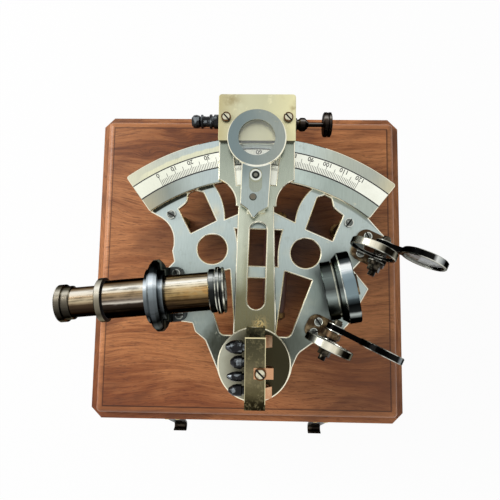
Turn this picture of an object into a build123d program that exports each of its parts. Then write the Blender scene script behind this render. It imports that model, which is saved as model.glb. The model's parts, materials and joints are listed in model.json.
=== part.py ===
"""A brass sextant standing on the lid of its hinged wooden storage box.

Millimetres, Z up.  The origin is the centre of the box's underside, X to the right and Y
towards the hinges.  The sextant is drawn about its own pivot, with the arc towards +Y and
heights measured from the lid, and is then set on the lid.
"""
from build123d import *
from math import cos, hypot, radians, sin
import os

# Clearances
FIT = 0.05
GAP = 0.3
EASY = 0.5

# Box
BOX_HALF = 106.0
WALL = 9.0
BOX_HEIGHT = 80.0
CORNER_CHAMFER = 7.0
FLOOR = 6.0
FELT = 1.5
RIM_HEIGHT = 23.0
PANEL = 9.0
PANEL_IN = 5.0
FIELD_IN = 5.5
FIELD_RISE = 1.0
OVOLO = 4.4
PANEL_CORNER = 3.0
CRADLE_SIDE = 26.0
CRADLE_HEIGHT = 14.0
CRADLE_SINK = 5.0

# Lid hinges
HINGE_X = 62.0
HINGE_LENGTH = 34.0
HINGE_LEAF = 18.0
LEAF = 1.2
KNUCKLE_R = 2.5
HINGE_PIN_R = 1.2
HINGE_SCREW_X = 10.0
HINGE_SCREW_OUT = 11.2

# Latches
LATCH_X = 51.5
LATCH_WIDTH = 13.0
LATCH_TIP_WIDTH = 9.6
LATCH_PLATE = 13.0
LATCH_PIVOT_RISE = 6.0
LATCH_KNUCKLE_R = 2.0
LATCH_PIN_R = 0.9
HASP_LENGTH = 26.0
HASP_LIP_R = 3.4
HASP_REST = 23.0
STUD_DROP = 16.0
CATCH_SCREWS = (-6.4, 5.0)
PLATE_SCREW_X = 3.6
PLATE_SCREW_RISE = 9.1
STUD_R = 1.6
STUD_REACH = 6.6
CATCH_HEIGHT = 20.0
WINDOW_WIDTH = 6.0
WINDOW_LENGTH = 8.0

# Screws
SMALL_HEAD_R = 1.9
SMALL_SHANK_R = 0.9
SMALL_SHANK = 5.0
SMALL_HEAD = 1.0
HEAD_R = 3.0
HEAD = 1.8
SHANK_R = 1.5
SLOT_WIDTH = 0.9

# Where the sextant stands on the lid
PIVOT_X = 5.6
PIVOT_Y = -58.6
FRAME_TURN = -1.15
ARM_TURN = 1.2

# Heights above the lid
FRAME_TOP = 40.0
FRAME_PLATE = 3.0
LIMB = 3.0
SCALE_SINK = 0.5
SCALE_PROUD = 0.1
ARM = 2.5
DISC = 2.5
SIGHT_HEIGHT = 62.0
BOLT_HEIGHT = 52.0
SCREW_AXIS_HEIGHT = 38.0
EDGE = 0.4

# Arc and frame, seen along Z
LIMB_OUTER = 132.0
LIMB_INNER = 106.3
SCALE_OUTER = 125.0
SCALE_INNER = 115.0
ARC_HALF = 37.2
LATTICE_HALF = 34.2
LATTICE_INNER = 60.0
FRAME_ARC_OUTER = 130.2
FRAME_ARC_INNER = 107.0
ARC_LAP = 0.3
FRAME_ROUND = 21.8
BOSS_R = 10.0
PIVOT_R = 4.0
HOLES = [(-27.0, 64.2), (28.0, 63.5)]
HOLE_R = 8.8
RIGHT_EDGE = [(19, -9, 0), (25, 5.5, 8), (33, 11.5, 3), (47, 16.0, 3), (53.5, 23, 3), (64.9, 43.9, 0.6),
              (55.7, 54.7, 0.8), (73.9, 75.1, 0.8)]
LEFT_EDGE = [(-50.2, 77.8, 16), (-50.0, 65.5, 1.2), (-50.7, 62.5, 0.8), (-49.2, 56.2, 0.8),
             (-57.5, 46.5, 1.5), (-54.3, 25, 1.5), (-48, 21.9, 2), (-36.6, 20.7, 1.0), (-34.9, 15.8, 2),
             (-28.8, 11.2, 4), (-19.5, -9, 0)]
RIGHT_WINDOW = [(34.3, 97.2, 1.6), (38.9, 98.6, 2.2), (42.7, 96.6, 2.2), (43.9, 91.2, 3.0),
                (49.7, 86.6, 0.3), (43.6, 71.3, 0.3), (27.8, 77.7, 0.3)]
LEFT_WINDOW = [(-33.6, 97.8, 1.6), (-38.4, 99.0, 2.2), (-42.9, 97.2, 2.2), (-43.2, 92.0, 3.0),
               (-48.1, 87.6, 0.3), (-40.1, 73.3, 0.3), (-25.3, 81.3, 0.3)]
TOP_WINDOW_PEAK = 91.4
TOP_WINDOW_RIGHT = [(21.3, 81.7), (24.0, 92.6), (31.0, 102.2)]
TOP_WINDOW_LEFT = [(-27.6, 103.0), (-22.0, 92.6), (-20.2, 82.2)]
MIDDLE_WINDOW_TOP = (14.0, 76.8)
MIDDLE_WINDOW_BEND = (12.0, 66.0)
MIDDLE_WINDOW_FOOT = (12.0, 55.1)
LOWER_SLOT = [(9.4, 47.9, 0.4), (7.4, 23.0, 3.0)]
LOWER_WINDOW = [(16.1, 52.6, 0.4), (32.2, 47.8, 0.4), (20.0, 14.6, 3.6), (11.8, 14.6, 2.4)]

# Legs and handle
LEG_POINTS = [(-52.2, 84.0), (53.0, 82.3), (0.0, -14.6)]
LEG_R = 5.0
LEG_WAIST_R = 3.4
HANDLE_X = 11.6
GRIP_FOOT = 22.0
GRIP_HEAD = 92.5
GRIP_R = 8.0
GRIP_HEIGHT = 10.5
FERRULE = 5.0
POST_R = 2.7
POST_FOOT = 27.0
POST_HEAD = 80.4

# Telescope
SIGHT_X = -53.0
SIGHT_Y = 36.3
SIGHT_TURN = 6.8
TUBE_R = 10.2
TUBE_BORE_R = 8.05
TUBE_FRONT = 33.0
TUBE_BACK = -30.0
TUBE_RING_R = 11.8
TUBE_RING = 3.3
LENS_BORE_R = 9.2
LENS_BORE = 19.0
DRAW_R = 8.0
DRAW_BORE_R = 6.9
DRAW_FRONT = -12.0
DRAW_BACK = -50.2
EYE_FLANGE = -44.2
EYE_FLANGE_R = 9.0
EYE_CUP_R = 10.0
EYE_CUP = -48.2
EYE_CUP_BACK = -51.6
EYE_DISH = 1.0
OBJECTIVE_LENS = 3.2
COLLAR_R = 19.1
COLLAR = 5.0
COLLAR_AHEAD = 1.5
COLLAR_BOSS_R = 13.6
COLLAR_BOSS = 1.9
COLLAR_BACK_R = 14.6
COLLAR_BACK = 2.5
STAND_HALF = 15.5
STAND_WEB = 9.4
STAND_PAD = 3.0
STAND_PAD_HALF = 15.8
STAND_SCREWS = [(7.6, -12.0), (7.6, 12.0)]

# Horizon mirror
HORIZON_X = 48.4
HORIZON_Y = 44.2
HORIZON_TURN = 12.9
HORIZON_LEAN = 8.5
HORIZON_R = 19.0
HORIZON_DRUM_R = 15.6
HORIZON_DRUM = 12.4
HORIZON_OPEN_R = 12.6
HORIZON_SEAT_R = 14.0
HORIZON_RING = 6.2
HORIZON_LIP = 1.2
HORIZON_GLASS = 2.6
SADDLE_WIDTH = 16.0
SADDLE_BACK = 2.2
SADDLE_RISE = 7.0

# Shades
SHADE_R = 12.2
SHADE_OPEN_R = 9.8
SHADE_SEAT_R = 10.8
SHADE_RING = 3.8
SHADE_SPACE = 0.6
SHADE_GLASS = 2.0
SHADE_HUB_R = 5.0
SHADE_BORE_R = 2.05
SHADE_PIN_R = 2.0
SHADE_ARM_WIDTH = 6.0
SHADE_ARM = 3.0
SPACER = 1.2
EAR_START = 7.5
EAR = 3.2
EAR_WIDTH = 9.0
WASHER = 2.1
WASHER_R = 4.6
NUT = 3.0
NUT_R = 3.6
PIN_TAIL = 2.8
PIN_HEAD = 1.8
PIN_HEAD_R = 2.6
SHADE_FOOT = 2.0
SHADE_FOOT_LENGTH = 14.0
SHADE_FOOT_ROUND = 4.0
SHADE_SCREW_IN = 8.4
HORIZON_SHADES = {"x": 72.1, "y": 72.9, "turn": -23.5, "screws": (-7.0, 3.9), "near": (22.5, 29.0),
                  "far": (22.5, 112.0)}
INDEX_SHADES = {"x": 46.0, "y": 26.0, "turn": -24.5, "screws": (-3.2, 3.2), "near": (26.4, 8.0),
                "far": (24.9, 100.2)}

# Index arm
ARM_WIDTH_FOOT = 12.5
ARM_WIDTH_NECK = 10.3
ARM_NECK = 89.0
ARM_COVE = [(11.7, 89.6), (14.8, 99.8), (22.3, 105.0)]
ARM_END = 150.0
ARM_SLOT = 5.0
ARM_SLOT_FOOT = (0.5, 35.0)
ARM_SLOT_HEAD = (1.4, 75.2)
WINDOW_ANGLE = 6.4
WINDOW_INNER = 102.4
WINDOW_OUTER = 127.0
VERNIER_PLATE = 1.7
BLOCK_HALF = 22.7
BLOCK_FOOT = 127.2
BLOCK_HEAD = 156.0
BLOCK_TOP = 2.6
BLOCK_CORNER = 1.8
CARRIER_FOOT = 133.0
CARRIER_HEAD = 153.0
CARRIER_LOW = 31.0
TANGENT_Y = 141.7
CLAMP_Y = 143.2
BLOCK_SCREW_X = 18.2
BLOCK_SCREW_Y = 141.5
BLOCK_THREAD = 2.0
DISC_R = 20.4
NUT_UNDER_R = 7.5
NUT_UNDER = 3.0
SPINDLE_R = 2.0
SPINDLE_IN = 3.0

# Magnifier
POST_HEIGHT = 5.0
PEDESTAL_HALF = 5.0
PEDESTAL_FOOT = 85.0
PEDESTAL_HEAD = 110.5
BRIDGE_GAP = 1.6
SLIDE = 0.1
GUIDE_R = 3.3
LENS_Y = 128.1
LENS_R = 17.0
LENS_OPEN_R = 10.6
LENS_GLASS_R = 11.3
LENS_GLASS = 1.6
LOUPE_PLATE = 2.2
LOUPE_TAIL = [(-9.0, 89.3, 0), (-4.8, 86.2, 3), (-1.6, 80.6, 1.0), (1.4, 84.4, 3), (6.9, 87.5, 0)]
LOUPE_NECK = 8.4
LOUPE_SLOT_X = -0.4
LOUPE_SLOT_R = 3.65
LOUPE_SLOT_FOOT = 99.6
LOUPE_SLOT_HEAD = 106.2
LOUPE_PIN_X = -1.8
LOUPE_PIN_Y = 93.3
LOUPE_PIN_R = 1.8
LENS_SEAT = 0.3

# Index mirror
CLIP_SCREW_X = 2.6
MIRROR_X = 0.7
MIRROR_HALF = 5.2
MIRROR_BACK = -17.8
MIRROR_FRONT = 17.4
MIRROR_TAB = 20.3
MIRROR_SHEET = 2.0
MIRROR_TOP = 74.0
MIRROR_GLASS = 3.0
CLIP = 0.6
CLIP_BOW = 3.6
ADJUSTER_SHAFT_R = 1.2
LOWER_CLIPS = (-16.6, 10.2)
LOWER_CLIP = 6.0
UPPER_CLIP = 5.4
ADJUSTERS = [(11.3, 3.6, 10.4), (3.6, 3.5, 7.8), (-4.0, 2.6, 9.6), (-10.6, 3.1, 8.6)]

# Objective ring, as radius and distance ahead of the tube's end
OBJECTIVE = [(11.0, -4.4), (11.6, -3.9), (11.6, -1.5), (11.0, -1.3), (11.0, -0.7), (12.5, -0.4), (12.5, 1.3),
             (11.7, 1.8), (11.7, 2.5), (12.3, 2.9), (11.9, 3.6)]

# Tangent and clamp screws, as radius and distance out from the block's side
TANGENT = [(3.9, 0.2), (3.9, 1.2), (3.0, 1.6), (3.0, 2.2), (4.0, 3.4), (4.1, 4.8), (3.9, 6.2), (2.4, 7.6),
           (1.4, 8.4), (1.4, 17.2), (6.6, 17.3), (7.3, 17.8), (7.3, 19.5), (5.8, 19.7), (5.8, 20.1),
           (7.3, 20.3), (7.3, 21.7), (6.5, 22.1)]
CLAMP = [(4.3, 0.2), (4.3, 3.4), (3.4, 3.8), (3.4, 4.6), (4.4, 4.8), (4.4, 6.0), (3.3, 6.6), (3.1, 8.4),
         (3.4, 10.0), (4.2, 10.4), (4.2, 11.4), (3.0, 11.8), (3.6, 12.6), (4.1, 14.2), (3.8, 16.0),
         (2.6, 17.2)]

RIM_FOOT = BOX_HEIGHT + GAP
LID_TOP = RIM_FOOT + RIM_HEIGHT + PANEL
PANEL_HALF = BOX_HALF - PANEL_IN
FIELD_HALF = PANEL_HALF - FIELD_IN
LIMB_TOP = FRAME_TOP + LIMB
ARM_FOOT = LIMB_TOP + EASY
ARM_TOP = ARM_FOOT + ARM
DISC_TOP = ARM_TOP + DISC
LOUPE_FOOT = ARM_TOP + POST_HEIGHT
HINGE_Y = BOX_HALF + KNUCKLE_R + 0.1
LATCH_Y = -(BOX_HALF + LEAF + LATCH_KNUCKLE_R - 0.2)
NEAR_SHADE = EAR_START - SHADE_SPACE - SHADE_RING / 2
FAR_SHADE = EAR_START + EAR + SPACER + SHADE_RING / 2
NUT_START = FAR_SHADE + SHADE_RING / 2 + WASHER
PIN_END = NUT_START + NUT + PIN_TAIL
LATCH_Z = RIM_FOOT + LATCH_PIVOT_RISE

BOTTOM = (Align.CENTER, Align.CENTER, Align.MIN)


def rod(radius, low, high, x=0.0, y=0.0):
    """Upright cylinder from one height to another."""
    return Pos(x, y, low) * Cylinder(radius, high - low, align=BOTTOM)


def block(x_low, x_high, y_low, y_high, z_low, z_high):
    """Box between two corners."""
    middle = Pos((x_low + x_high) / 2, (y_low + y_high) / 2, (z_low + z_high) / 2)
    return middle * Box(x_high - x_low, y_high - y_low, z_high - z_low)


def plate(corners, low, high):
    """Flat plate from corners given as x, y and corner radius."""
    points = [(x, y) for x, y, _ in corners]
    outline = FilletPolyline(*points, radius=[r for _, _, r in corners], close=True)
    return Pos(0, 0, low) * extrude(make_face(outline), amount=high - low, dir=(0, 0, 1))


def mirrored(corners):
    """Corners of the right half, carried on round the left half."""
    return corners + [(-x, y, r) for x, y, r in reversed(corners)]


def sector(inner, outer, half_angle, low, high):
    """Piece of a flat ring, centred on +Y."""
    start = 90 - half_angle
    far = CenterArc((0, 0), outer, start, 2 * half_angle)
    near = CenterArc((0, 0), inner, start, 2 * half_angle)
    outline = far + Line(far @ 1, near @ 1) + near + Line(near @ 0, far @ 0)
    return Pos(0, 0, low) * extrude(make_face(outline), amount=high - low, dir=(0, 0, 1))


def turned(profile):
    """Solid of revolution about Z from radius and height pairs."""
    points = [(0, profile[0][1])] + list(profile) + [(0, profile[-1][1])]
    return revolve(Plane.XZ * make_face(Polyline(*points, close=True)), axis=Axis.Z)


def softened(solid, size):
    """Chamfer round the top face's holes and windows, and then round its outline."""
    windows = [edge for wire in solid.faces().sort_by(Axis.Z)[-1].inner_wires() for edge in wire.edges()]
    if windows:
        solid = chamfer(windows, size)
    return chamfer(solid.faces().sort_by(Axis.Z)[-1].outer_wire().edges(), size)


def screw(head_r, head, shank_r, shank):
    """Slotted cheese-head screw pointing down, its head's underside at the origin."""
    body = rod(head_r, 0, head) + rod(shank_r, -shank, 0)
    slot = block(-head_r, head_r, -SLOT_WIDTH / 2, SLOT_WIDTH / 2, head * 0.45, head + 1)
    return body - slot


def facing(x, y, z, azimuth):
    """Place whose own Z points along a level direction, with its own X upwards."""
    level = (cos(radians(azimuth)), sin(radians(azimuth)), 0)
    return Plane(origin=(x, y, z), x_dir=(0, 0, 1), z_dir=level).location


def on_lid(shape):
    """Set a piece of the sextant's frame on the lid."""
    return Pos(PIVOT_X, PIVOT_Y, LID_TOP) * Rot(0, 0, FRAME_TURN) * shape


def on_arm(shape):
    """Set a piece that turns with the index arm."""
    return on_lid(Rot(0, 0, ARM_TURN) * shape)


def on_mirror(shape):
    """Set a piece of the index mirror, drawn about the middle of its bracket."""
    return on_arm(Pos(MIRROR_X, 0, 0) * shape)


def on_sight_line(shape):
    """Set a piece that is drawn along Z on the telescope's axis."""
    return on_lid(facing(SIGHT_X, SIGHT_Y, SIGHT_HEIGHT, SIGHT_TURN) * shape)


def save(name, *solids):
    """Write one named sub-part."""
    shape = solids[0] if len(solids) == 1 else Compound(children=list(solids))
    shape.label = name
    export_step(shape, f"parts/{name}.step")


def mitred_wall(low, high, turn):
    """One of four walls, mitred at its ends and cut off at the box's corners."""
    inner = BOX_HALF - WALL
    cut = BOX_HALF - CORNER_CHAMFER
    corner = BOX_HALF - CORNER_CHAMFER / 2
    corners = [(-cut, -BOX_HALF, 0), (cut, -BOX_HALF, 0), (corner, -corner, 0), (inner, -inner, 0),
               (-inner, -inner, 0), (-corner, -corner, 0)]
    return Rot(0, 0, turn) * plate(corners, low, high)


def hinge_screw_points():
    """Screws of both hinges, as X and distance from the hinge line."""
    return [(side * HINGE_X + step, HINGE_SCREW_OUT) for side in (-1, 1)
            for step in (-HINGE_SCREW_X, HINGE_SCREW_X)]


def back_screw(x, z, base):
    """Small screw driven into the back of the box."""
    return Pos(x, base, z) * Rot(-90, 0, 0) * screw(SMALL_HEAD_R, SMALL_HEAD, SMALL_SHANK_R, SMALL_SHANK)


def front_screw(x, z, base):
    """Small screw driven into the front of the box."""
    return Pos(x, base, z) * Rot(90, 0, 0) * screw(SMALL_HEAD_R, SMALL_HEAD, SMALL_SHANK_R, SMALL_SHANK)


def pilot(x, z, front):
    """Hole for a small screw, through the front or the back face."""
    face = -BOX_HALF if front else BOX_HALF
    return Pos(x, face, z) * Rot(90, 0, 0) * Cylinder(SMALL_SHANK_R + FIT, 2 * (SMALL_SHANK + 1))


def catch_screw_points():
    """Screws of both catches on the front wall."""
    middle = LATCH_Z - STUD_DROP
    return [(side * LATCH_X, middle + step) for side in (-1, 1) for step in CATCH_SCREWS]


def latch_screw_points():
    """Screws of both latch plates on the lid's rim."""
    return [(side * LATCH_X + step, LATCH_Z + PLATE_SCREW_RISE) for side in (-1, 1)
            for step in (-PLATE_SCREW_X, PLATE_SCREW_X)]


def build_box():
    front = mitred_wall(0, BOX_HEIGHT, 0)
    for x, z in catch_screw_points():
        front -= pilot(x, z, True)
    save("box_front_wall", front)
    back = mitred_wall(0, BOX_HEIGHT, 180)
    for x, drop in hinge_screw_points():
        back -= pilot(x, BOX_HEIGHT - drop, False)
    save("box_back_wall", back)
    save("box_side_walls", mitred_wall(0, BOX_HEIGHT, 90), mitred_wall(0, BOX_HEIGHT, -90))
    inner = BOX_HALF - WALL
    save("box_floor", block(-inner, inner, -inner, inner, 0, FLOOR))
    felt = block(-inner + GAP, inner - GAP, -inner + GAP, inner - GAP, FLOOR, FLOOR + FELT)
    save("floor_lining", felt)
    low = FLOOR + FELT
    half = CRADLE_SIDE / 2
    blank = block(-half, half, -half, half, low, low + CRADLE_HEIGHT)
    blank = chamfer(blank.edges().filter_by(Axis.Z), 2.0)
    blank -= rod(LEG_R + EASY, low + CRADLE_HEIGHT - CRADLE_SINK, low + CRADLE_HEIGHT + 1)
    turn = Pos(PIVOT_X, PIVOT_Y, 0) * Rot(0, 0, FRAME_TURN)
    save("cradle_blocks", *[turn * Pos(x, y, 0) * blank for x, y in LEG_POINTS])


def hinge_leaf(lower):
    """One leaf with its knuckles, about its pin, along X."""
    sign = -1 if lower else 1
    third = HINGE_LENGTH / 3
    near = KNUCKLE_R + GAP
    spans = [(-HINGE_LENGTH / 2, -third / 2 - FIT), (third / 2 + FIT, HINGE_LENGTH / 2)]
    if not lower:
        spans = [(-third / 2 + FIT, third / 2 - FIT)]
    face = BOX_HALF - HINGE_Y
    z_low, z_high = sorted((sign * near, sign * HINGE_LEAF))
    leaf = block(-HINGE_LENGTH / 2, HINGE_LENGTH / 2, face, face + LEAF, z_low, z_high)
    for start, end in spans:
        barrel = Pos(start, 0, 0) * Rot(0, 90, 0) * Cylinder(KNUCKLE_R, end - start, align=BOTTOM)
        z_low, z_high = sorted((0, sign * (near + 1)))
        leaf += barrel + block(start, end, face, face + LEAF, z_low, z_high)
    leaf -= Rot(0, 90, 0) * Cylinder(HINGE_PIN_R + FIT, HINGE_LENGTH + 2)
    for step in (-HINGE_SCREW_X, HINGE_SCREW_X):
        hole = Rot(90, 0, 0) * Cylinder(SMALL_SHANK_R + FIT, 4 * LEAF)
        leaf -= Pos(step, face + LEAF / 2, sign * HINGE_SCREW_OUT) * hole
    return leaf


def hinge_line(side):
    """Middle of one hinge's pin."""
    return Pos(side * HINGE_X, HINGE_Y, BOX_HEIGHT)


def build_hinges():
    save("hinge_lower_leaves", *[hinge_line(side) * hinge_leaf(True) for side in (-1, 1)])
    save("hinge_upper_leaves", *[hinge_line(side) * hinge_leaf(False) for side in (-1, 1)])
    pin = Rot(0, 90, 0) * Cylinder(HINGE_PIN_R, HINGE_LENGTH)
    save("hinge_pins", *[hinge_line(side) * pin for side in (-1, 1)])


def build_lid():
    walls = [mitred_wall(RIM_FOOT, RIM_FOOT + RIM_HEIGHT, turn) for turn in (0, 90, 180, -90)]
    for x, z in latch_screw_points():
        walls[0] -= pilot(x, z, True)
    for x, rise in hinge_screw_points():
        walls[2] -= pilot(x, BOX_HEIGHT + rise, False)
    save("lid_rim", *walls)
    low = RIM_FOOT + RIM_HEIGHT
    moulding = block(-PANEL_HALF, PANEL_HALF, -PANEL_HALF, PANEL_HALF, low, LID_TOP - FIELD_RISE)
    moulding = fillet(moulding.edges().filter_by(Axis.Z), PANEL_CORNER)
    moulding = fillet(moulding.faces().sort_by(Axis.Z)[-1].edges(), OVOLO)
    field = block(-FIELD_HALF, FIELD_HALF, -FIELD_HALF, FIELD_HALF, LID_TOP - FIELD_RISE - 1, LID_TOP)
    save("lid_panel", moulding + field)
    inner = BOX_HALF - WALL - GAP
    save("lid_lining", block(-inner, inner, -inner, inner, low - FELT, low))


def latch_line(side):
    """Middle of one latch's pin."""
    return Pos(side * LATCH_X, LATCH_Y, LATCH_Z)


def latch_plate():
    """Plate on the lid's rim with two knuckles for the hasp's pin."""
    half = LATCH_WIDTH / 2
    third = LATCH_WIDTH / 3
    face = -BOX_HALF - LATCH_Y
    leaf = block(-half, half, face - LEAF, face, LATCH_KNUCKLE_R + GAP, LATCH_PLATE)
    leaf = fillet(leaf.edges().filter_by(Axis.Y).group_by(Axis.Z)[-1], 2.0)
    for start in (-half, third / 2 + FIT):
        end = start + third - FIT
        barrel = Pos(start, 0, 0) * Rot(0, 90, 0) * Cylinder(LATCH_KNUCKLE_R, end - start, align=BOTTOM)
        leaf += barrel + block(start, end, face - LEAF, face, 0, LATCH_KNUCKLE_R + 1)
    leaf -= Rot(0, 90, 0) * Cylinder(LATCH_PIN_R + FIT, LATCH_WIDTH + 2)
    for step in (-PLATE_SCREW_X, PLATE_SCREW_X):
        hole = Rot(90, 0, 0) * Cylinder(SMALL_SHANK_R + FIT, 4 * LEAF)
        leaf -= Pos(step, face - LEAF / 2, PLATE_SCREW_RISE) * hole
    return leaf


def hasp():
    """Hasp hanging from its pin, with a window for the stud and a curled lip."""
    half = LATCH_WIDTH / 2
    tip = LATCH_TIP_WIDTH / 2
    third = LATCH_WIDTH / 3
    outer = -LATCH_KNUCKLE_R + 0.4
    corners = [(-half, -LATCH_KNUCKLE_R - 0.6, 0.5), (half, -LATCH_KNUCKLE_R - 0.6, 0.5),
               (tip, -HASP_LENGTH, 0), (-tip, -HASP_LENGTH, 0)]
    strap = Rot(90, 0, 0) * plate(corners, -outer - LEAF, -outer)
    strap += block(-third / 2 + FIT, third / 2 - FIT, outer, outer + LEAF, -LATCH_KNUCKLE_R - 1, 0)
    strap += Rot(0, 90, 0) * Cylinder(LATCH_KNUCKLE_R, third - 2 * FIT)
    curl = Cylinder(HASP_LIP_R, LATCH_TIP_WIDTH) - Cylinder(HASP_LIP_R - LEAF, LATCH_TIP_WIDTH)
    keep = block(-tip, tip, -HASP_LIP_R, HASP_LIP_R, -HASP_LIP_R, 0)
    strap += Pos(0, outer + LEAF - HASP_LIP_R, -HASP_LENGTH) * (Rot(0, 90, 0) * curl & keep)
    strap -= Rot(0, 90, 0) * Cylinder(LATCH_PIN_R + FIT, LATCH_WIDTH + 2)
    middle = -STUD_DROP
    strap -= block(-WINDOW_WIDTH / 2, WINDOW_WIDTH / 2, outer - 1, outer + LEAF + 1,
                   middle - WINDOW_LENGTH / 2, middle + WINDOW_LENGTH / 2)
    return Rot(-HASP_REST, 0, 0) * strap


def catch():
    """Plate with a domed stud on the box's front wall."""
    half = LATCH_TIP_WIDTH / 2
    face = -BOX_HALF - LATCH_Y
    leaf = block(-half, half, face - LEAF, face, -CATCH_HEIGHT / 2 - 1, CATCH_HEIGHT / 2 - 2)
    leaf = fillet(leaf.edges().filter_by(Axis.Y), 1.5)
    stud = turned([(STUD_R, 0), (STUD_R, STUD_REACH - 1.2), (STUD_R * 0.6, STUD_REACH)])
    leaf += Pos(0, face, 0) * Rot(90, 0, 0) * stud
    for step in CATCH_SCREWS:
        leaf -= Pos(0, face, step) * Rot(90, 0, 0) * Cylinder(SMALL_SHANK_R + FIT, 4 * LEAF)
    return Pos(0, 0, -STUD_DROP) * leaf


def build_latches():
    save("latch_plates", *[latch_line(side) * latch_plate() for side in (-1, 1)])
    pin = Rot(0, 90, 0) * Cylinder(LATCH_PIN_R, LATCH_WIDTH)
    save("latch_pins", *[latch_line(side) * pin for side in (-1, 1)])
    save("latch_left_hasp", latch_line(-1) * hasp())
    save("latch_right_hasp", latch_line(1) * hasp())
    save("latch_catches", *[latch_line(side) * catch() for side in (-1, 1)])
    face = -BOX_HALF - LEAF
    catches = [front_screw(x, z, face) for x, z in catch_screw_points()]
    lower = [back_screw(x, BOX_HEIGHT - drop, BOX_HALF + LEAF) for x, drop in hinge_screw_points()]
    save("box_screws", *catches, *lower)
    latches = [front_screw(x, z, face) for x, z in latch_screw_points()]
    upper = [back_screw(x, BOX_HEIGHT + rise, BOX_HALF + LEAF) for x, rise in hinge_screw_points()]
    save("lid_screws", *latches, *upper)


def frame_openings(low, high):
    """Windows and round holes of the frame lattice."""
    cuts = [plate(corners, low, high) for corners in (RIGHT_WINDOW, LEFT_WINDOW, LOWER_WINDOW)]
    cuts.append(mirror(cuts[-1], about=Plane.YZ))
    cuts += [rod(HOLE_R, low, high, x, y) for x, y in HOLES]
    foot, _, head = TOP_WINDOW_RIGHT
    left_head, _, left_foot = TOP_WINDOW_LEFT
    crown = ThreePointArc(head, (0, hypot(*head)), left_head)
    sill = Polyline(left_foot, (0, TOP_WINDOW_PEAK), foot)
    outline = ThreePointArc(*TOP_WINDOW_RIGHT) + crown + ThreePointArc(*TOP_WINDOW_LEFT) + sill
    cuts.append(Pos(0, 0, low) * extrude(make_face(outline), amount=high - low, dir=(0, 0, 1)))
    top, bend, foot = MIDDLE_WINDOW_TOP, MIDDLE_WINDOW_BEND, MIDDLE_WINDOW_FOOT
    right = ThreePointArc(foot, bend, top)
    left = ThreePointArc((-top[0], top[1]), (-bend[0], bend[1]), (-foot[0], foot[1]))
    outline = right + Line(top, (-top[0], top[1])) + left + Line((-foot[0], foot[1]), foot)
    cuts.append(Pos(0, 0, low) * extrude(make_face(outline), amount=high - low, dir=(0, 0, 1)))
    cuts.append(plate(mirrored(LOWER_SLOT), low, high))
    return cuts


def build_frame():
    low = FRAME_TOP - FRAME_PLATE
    ends = [(FRAME_ARC_INNER, ARC_HALF), (FRAME_ARC_INNER + ARC_LAP, LATTICE_HALF)]
    under_arc = [(r * sin(radians(angle)), r * cos(radians(angle)), 0) for r, angle in ends]
    sheet = plate(RIGHT_EDGE + mirrored(under_arc) + LEFT_EDGE, low, FRAME_TOP)
    sheet += sector(FRAME_ARC_INNER, FRAME_ARC_OUTER, ARC_HALF, low, FRAME_TOP)
    sheet += sector(LATTICE_INNER, FRAME_ARC_INNER + 1, LATTICE_HALF, low, FRAME_TOP)
    sheet += rod(FRAME_ROUND, low, FRAME_TOP)
    for cut in frame_openings(low - 1, FRAME_TOP + 1):
        sheet -= cut
    sheet = softened(sheet, EDGE)
    sheet += rod(BOSS_R, FRAME_TOP, ARM_FOOT - GAP)
    sheet -= rod(PIVOT_R + FIT, low - 1, ARM_FOOT)
    for x, y in LEG_POINTS:
        sheet -= rod(SHANK_R + FIT, low - 1, FRAME_TOP + 1, x, y)
    for x, y, _ in pad_screws():
        sheet -= rod(SHANK_R + FIT, low - 1, FRAME_TOP + 1, x, y)
    save("frame", on_lid(sheet))


def build_limb():
    limb = sector(LIMB_INNER, LIMB_OUTER, ARC_HALF, FRAME_TOP, LIMB_TOP)
    limb = fillet(limb.edges().filter_by(Axis.Z), 1.6)
    limb = softened(limb, EDGE)
    groove = sector(SCALE_INNER, SCALE_OUTER, ARC_HALF + 1, LIMB_TOP - SCALE_SINK, LIMB_TOP + 1)
    save("arc_limb", on_lid(limb - groove))
    low = LIMB_TOP - SCALE_SINK
    strip = sector(SCALE_INNER + FIT, SCALE_OUTER - FIT, ARC_HALF - 0.1, low, LIMB_TOP + SCALE_PROUD)
    save("arc_scale", on_lid(strip))


def build_legs():
    top = FRAME_TOP - FRAME_PLATE
    profile = [(LEG_R * 0.8, GAP), (LEG_R, GAP + 1.0), (LEG_R, GAP + 4.5), (LEG_WAIST_R, GAP + 6.5),
               (LEG_WAIST_R, top - 9.0), (LEG_R * 0.9, top - 7.5), (LEG_R * 0.9, top - 5.5),
               (LEG_WAIST_R + 0.4, top - 4.5), (LEG_R, top - 1.5), (LEG_R, top)]
    leg = turned(profile) - rod(SHANK_R + FIT, top - 6.0, top + 1)
    save("legs", *[on_lid(Pos(x, y, 0) * leg) for x, y in LEG_POINTS])


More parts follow.
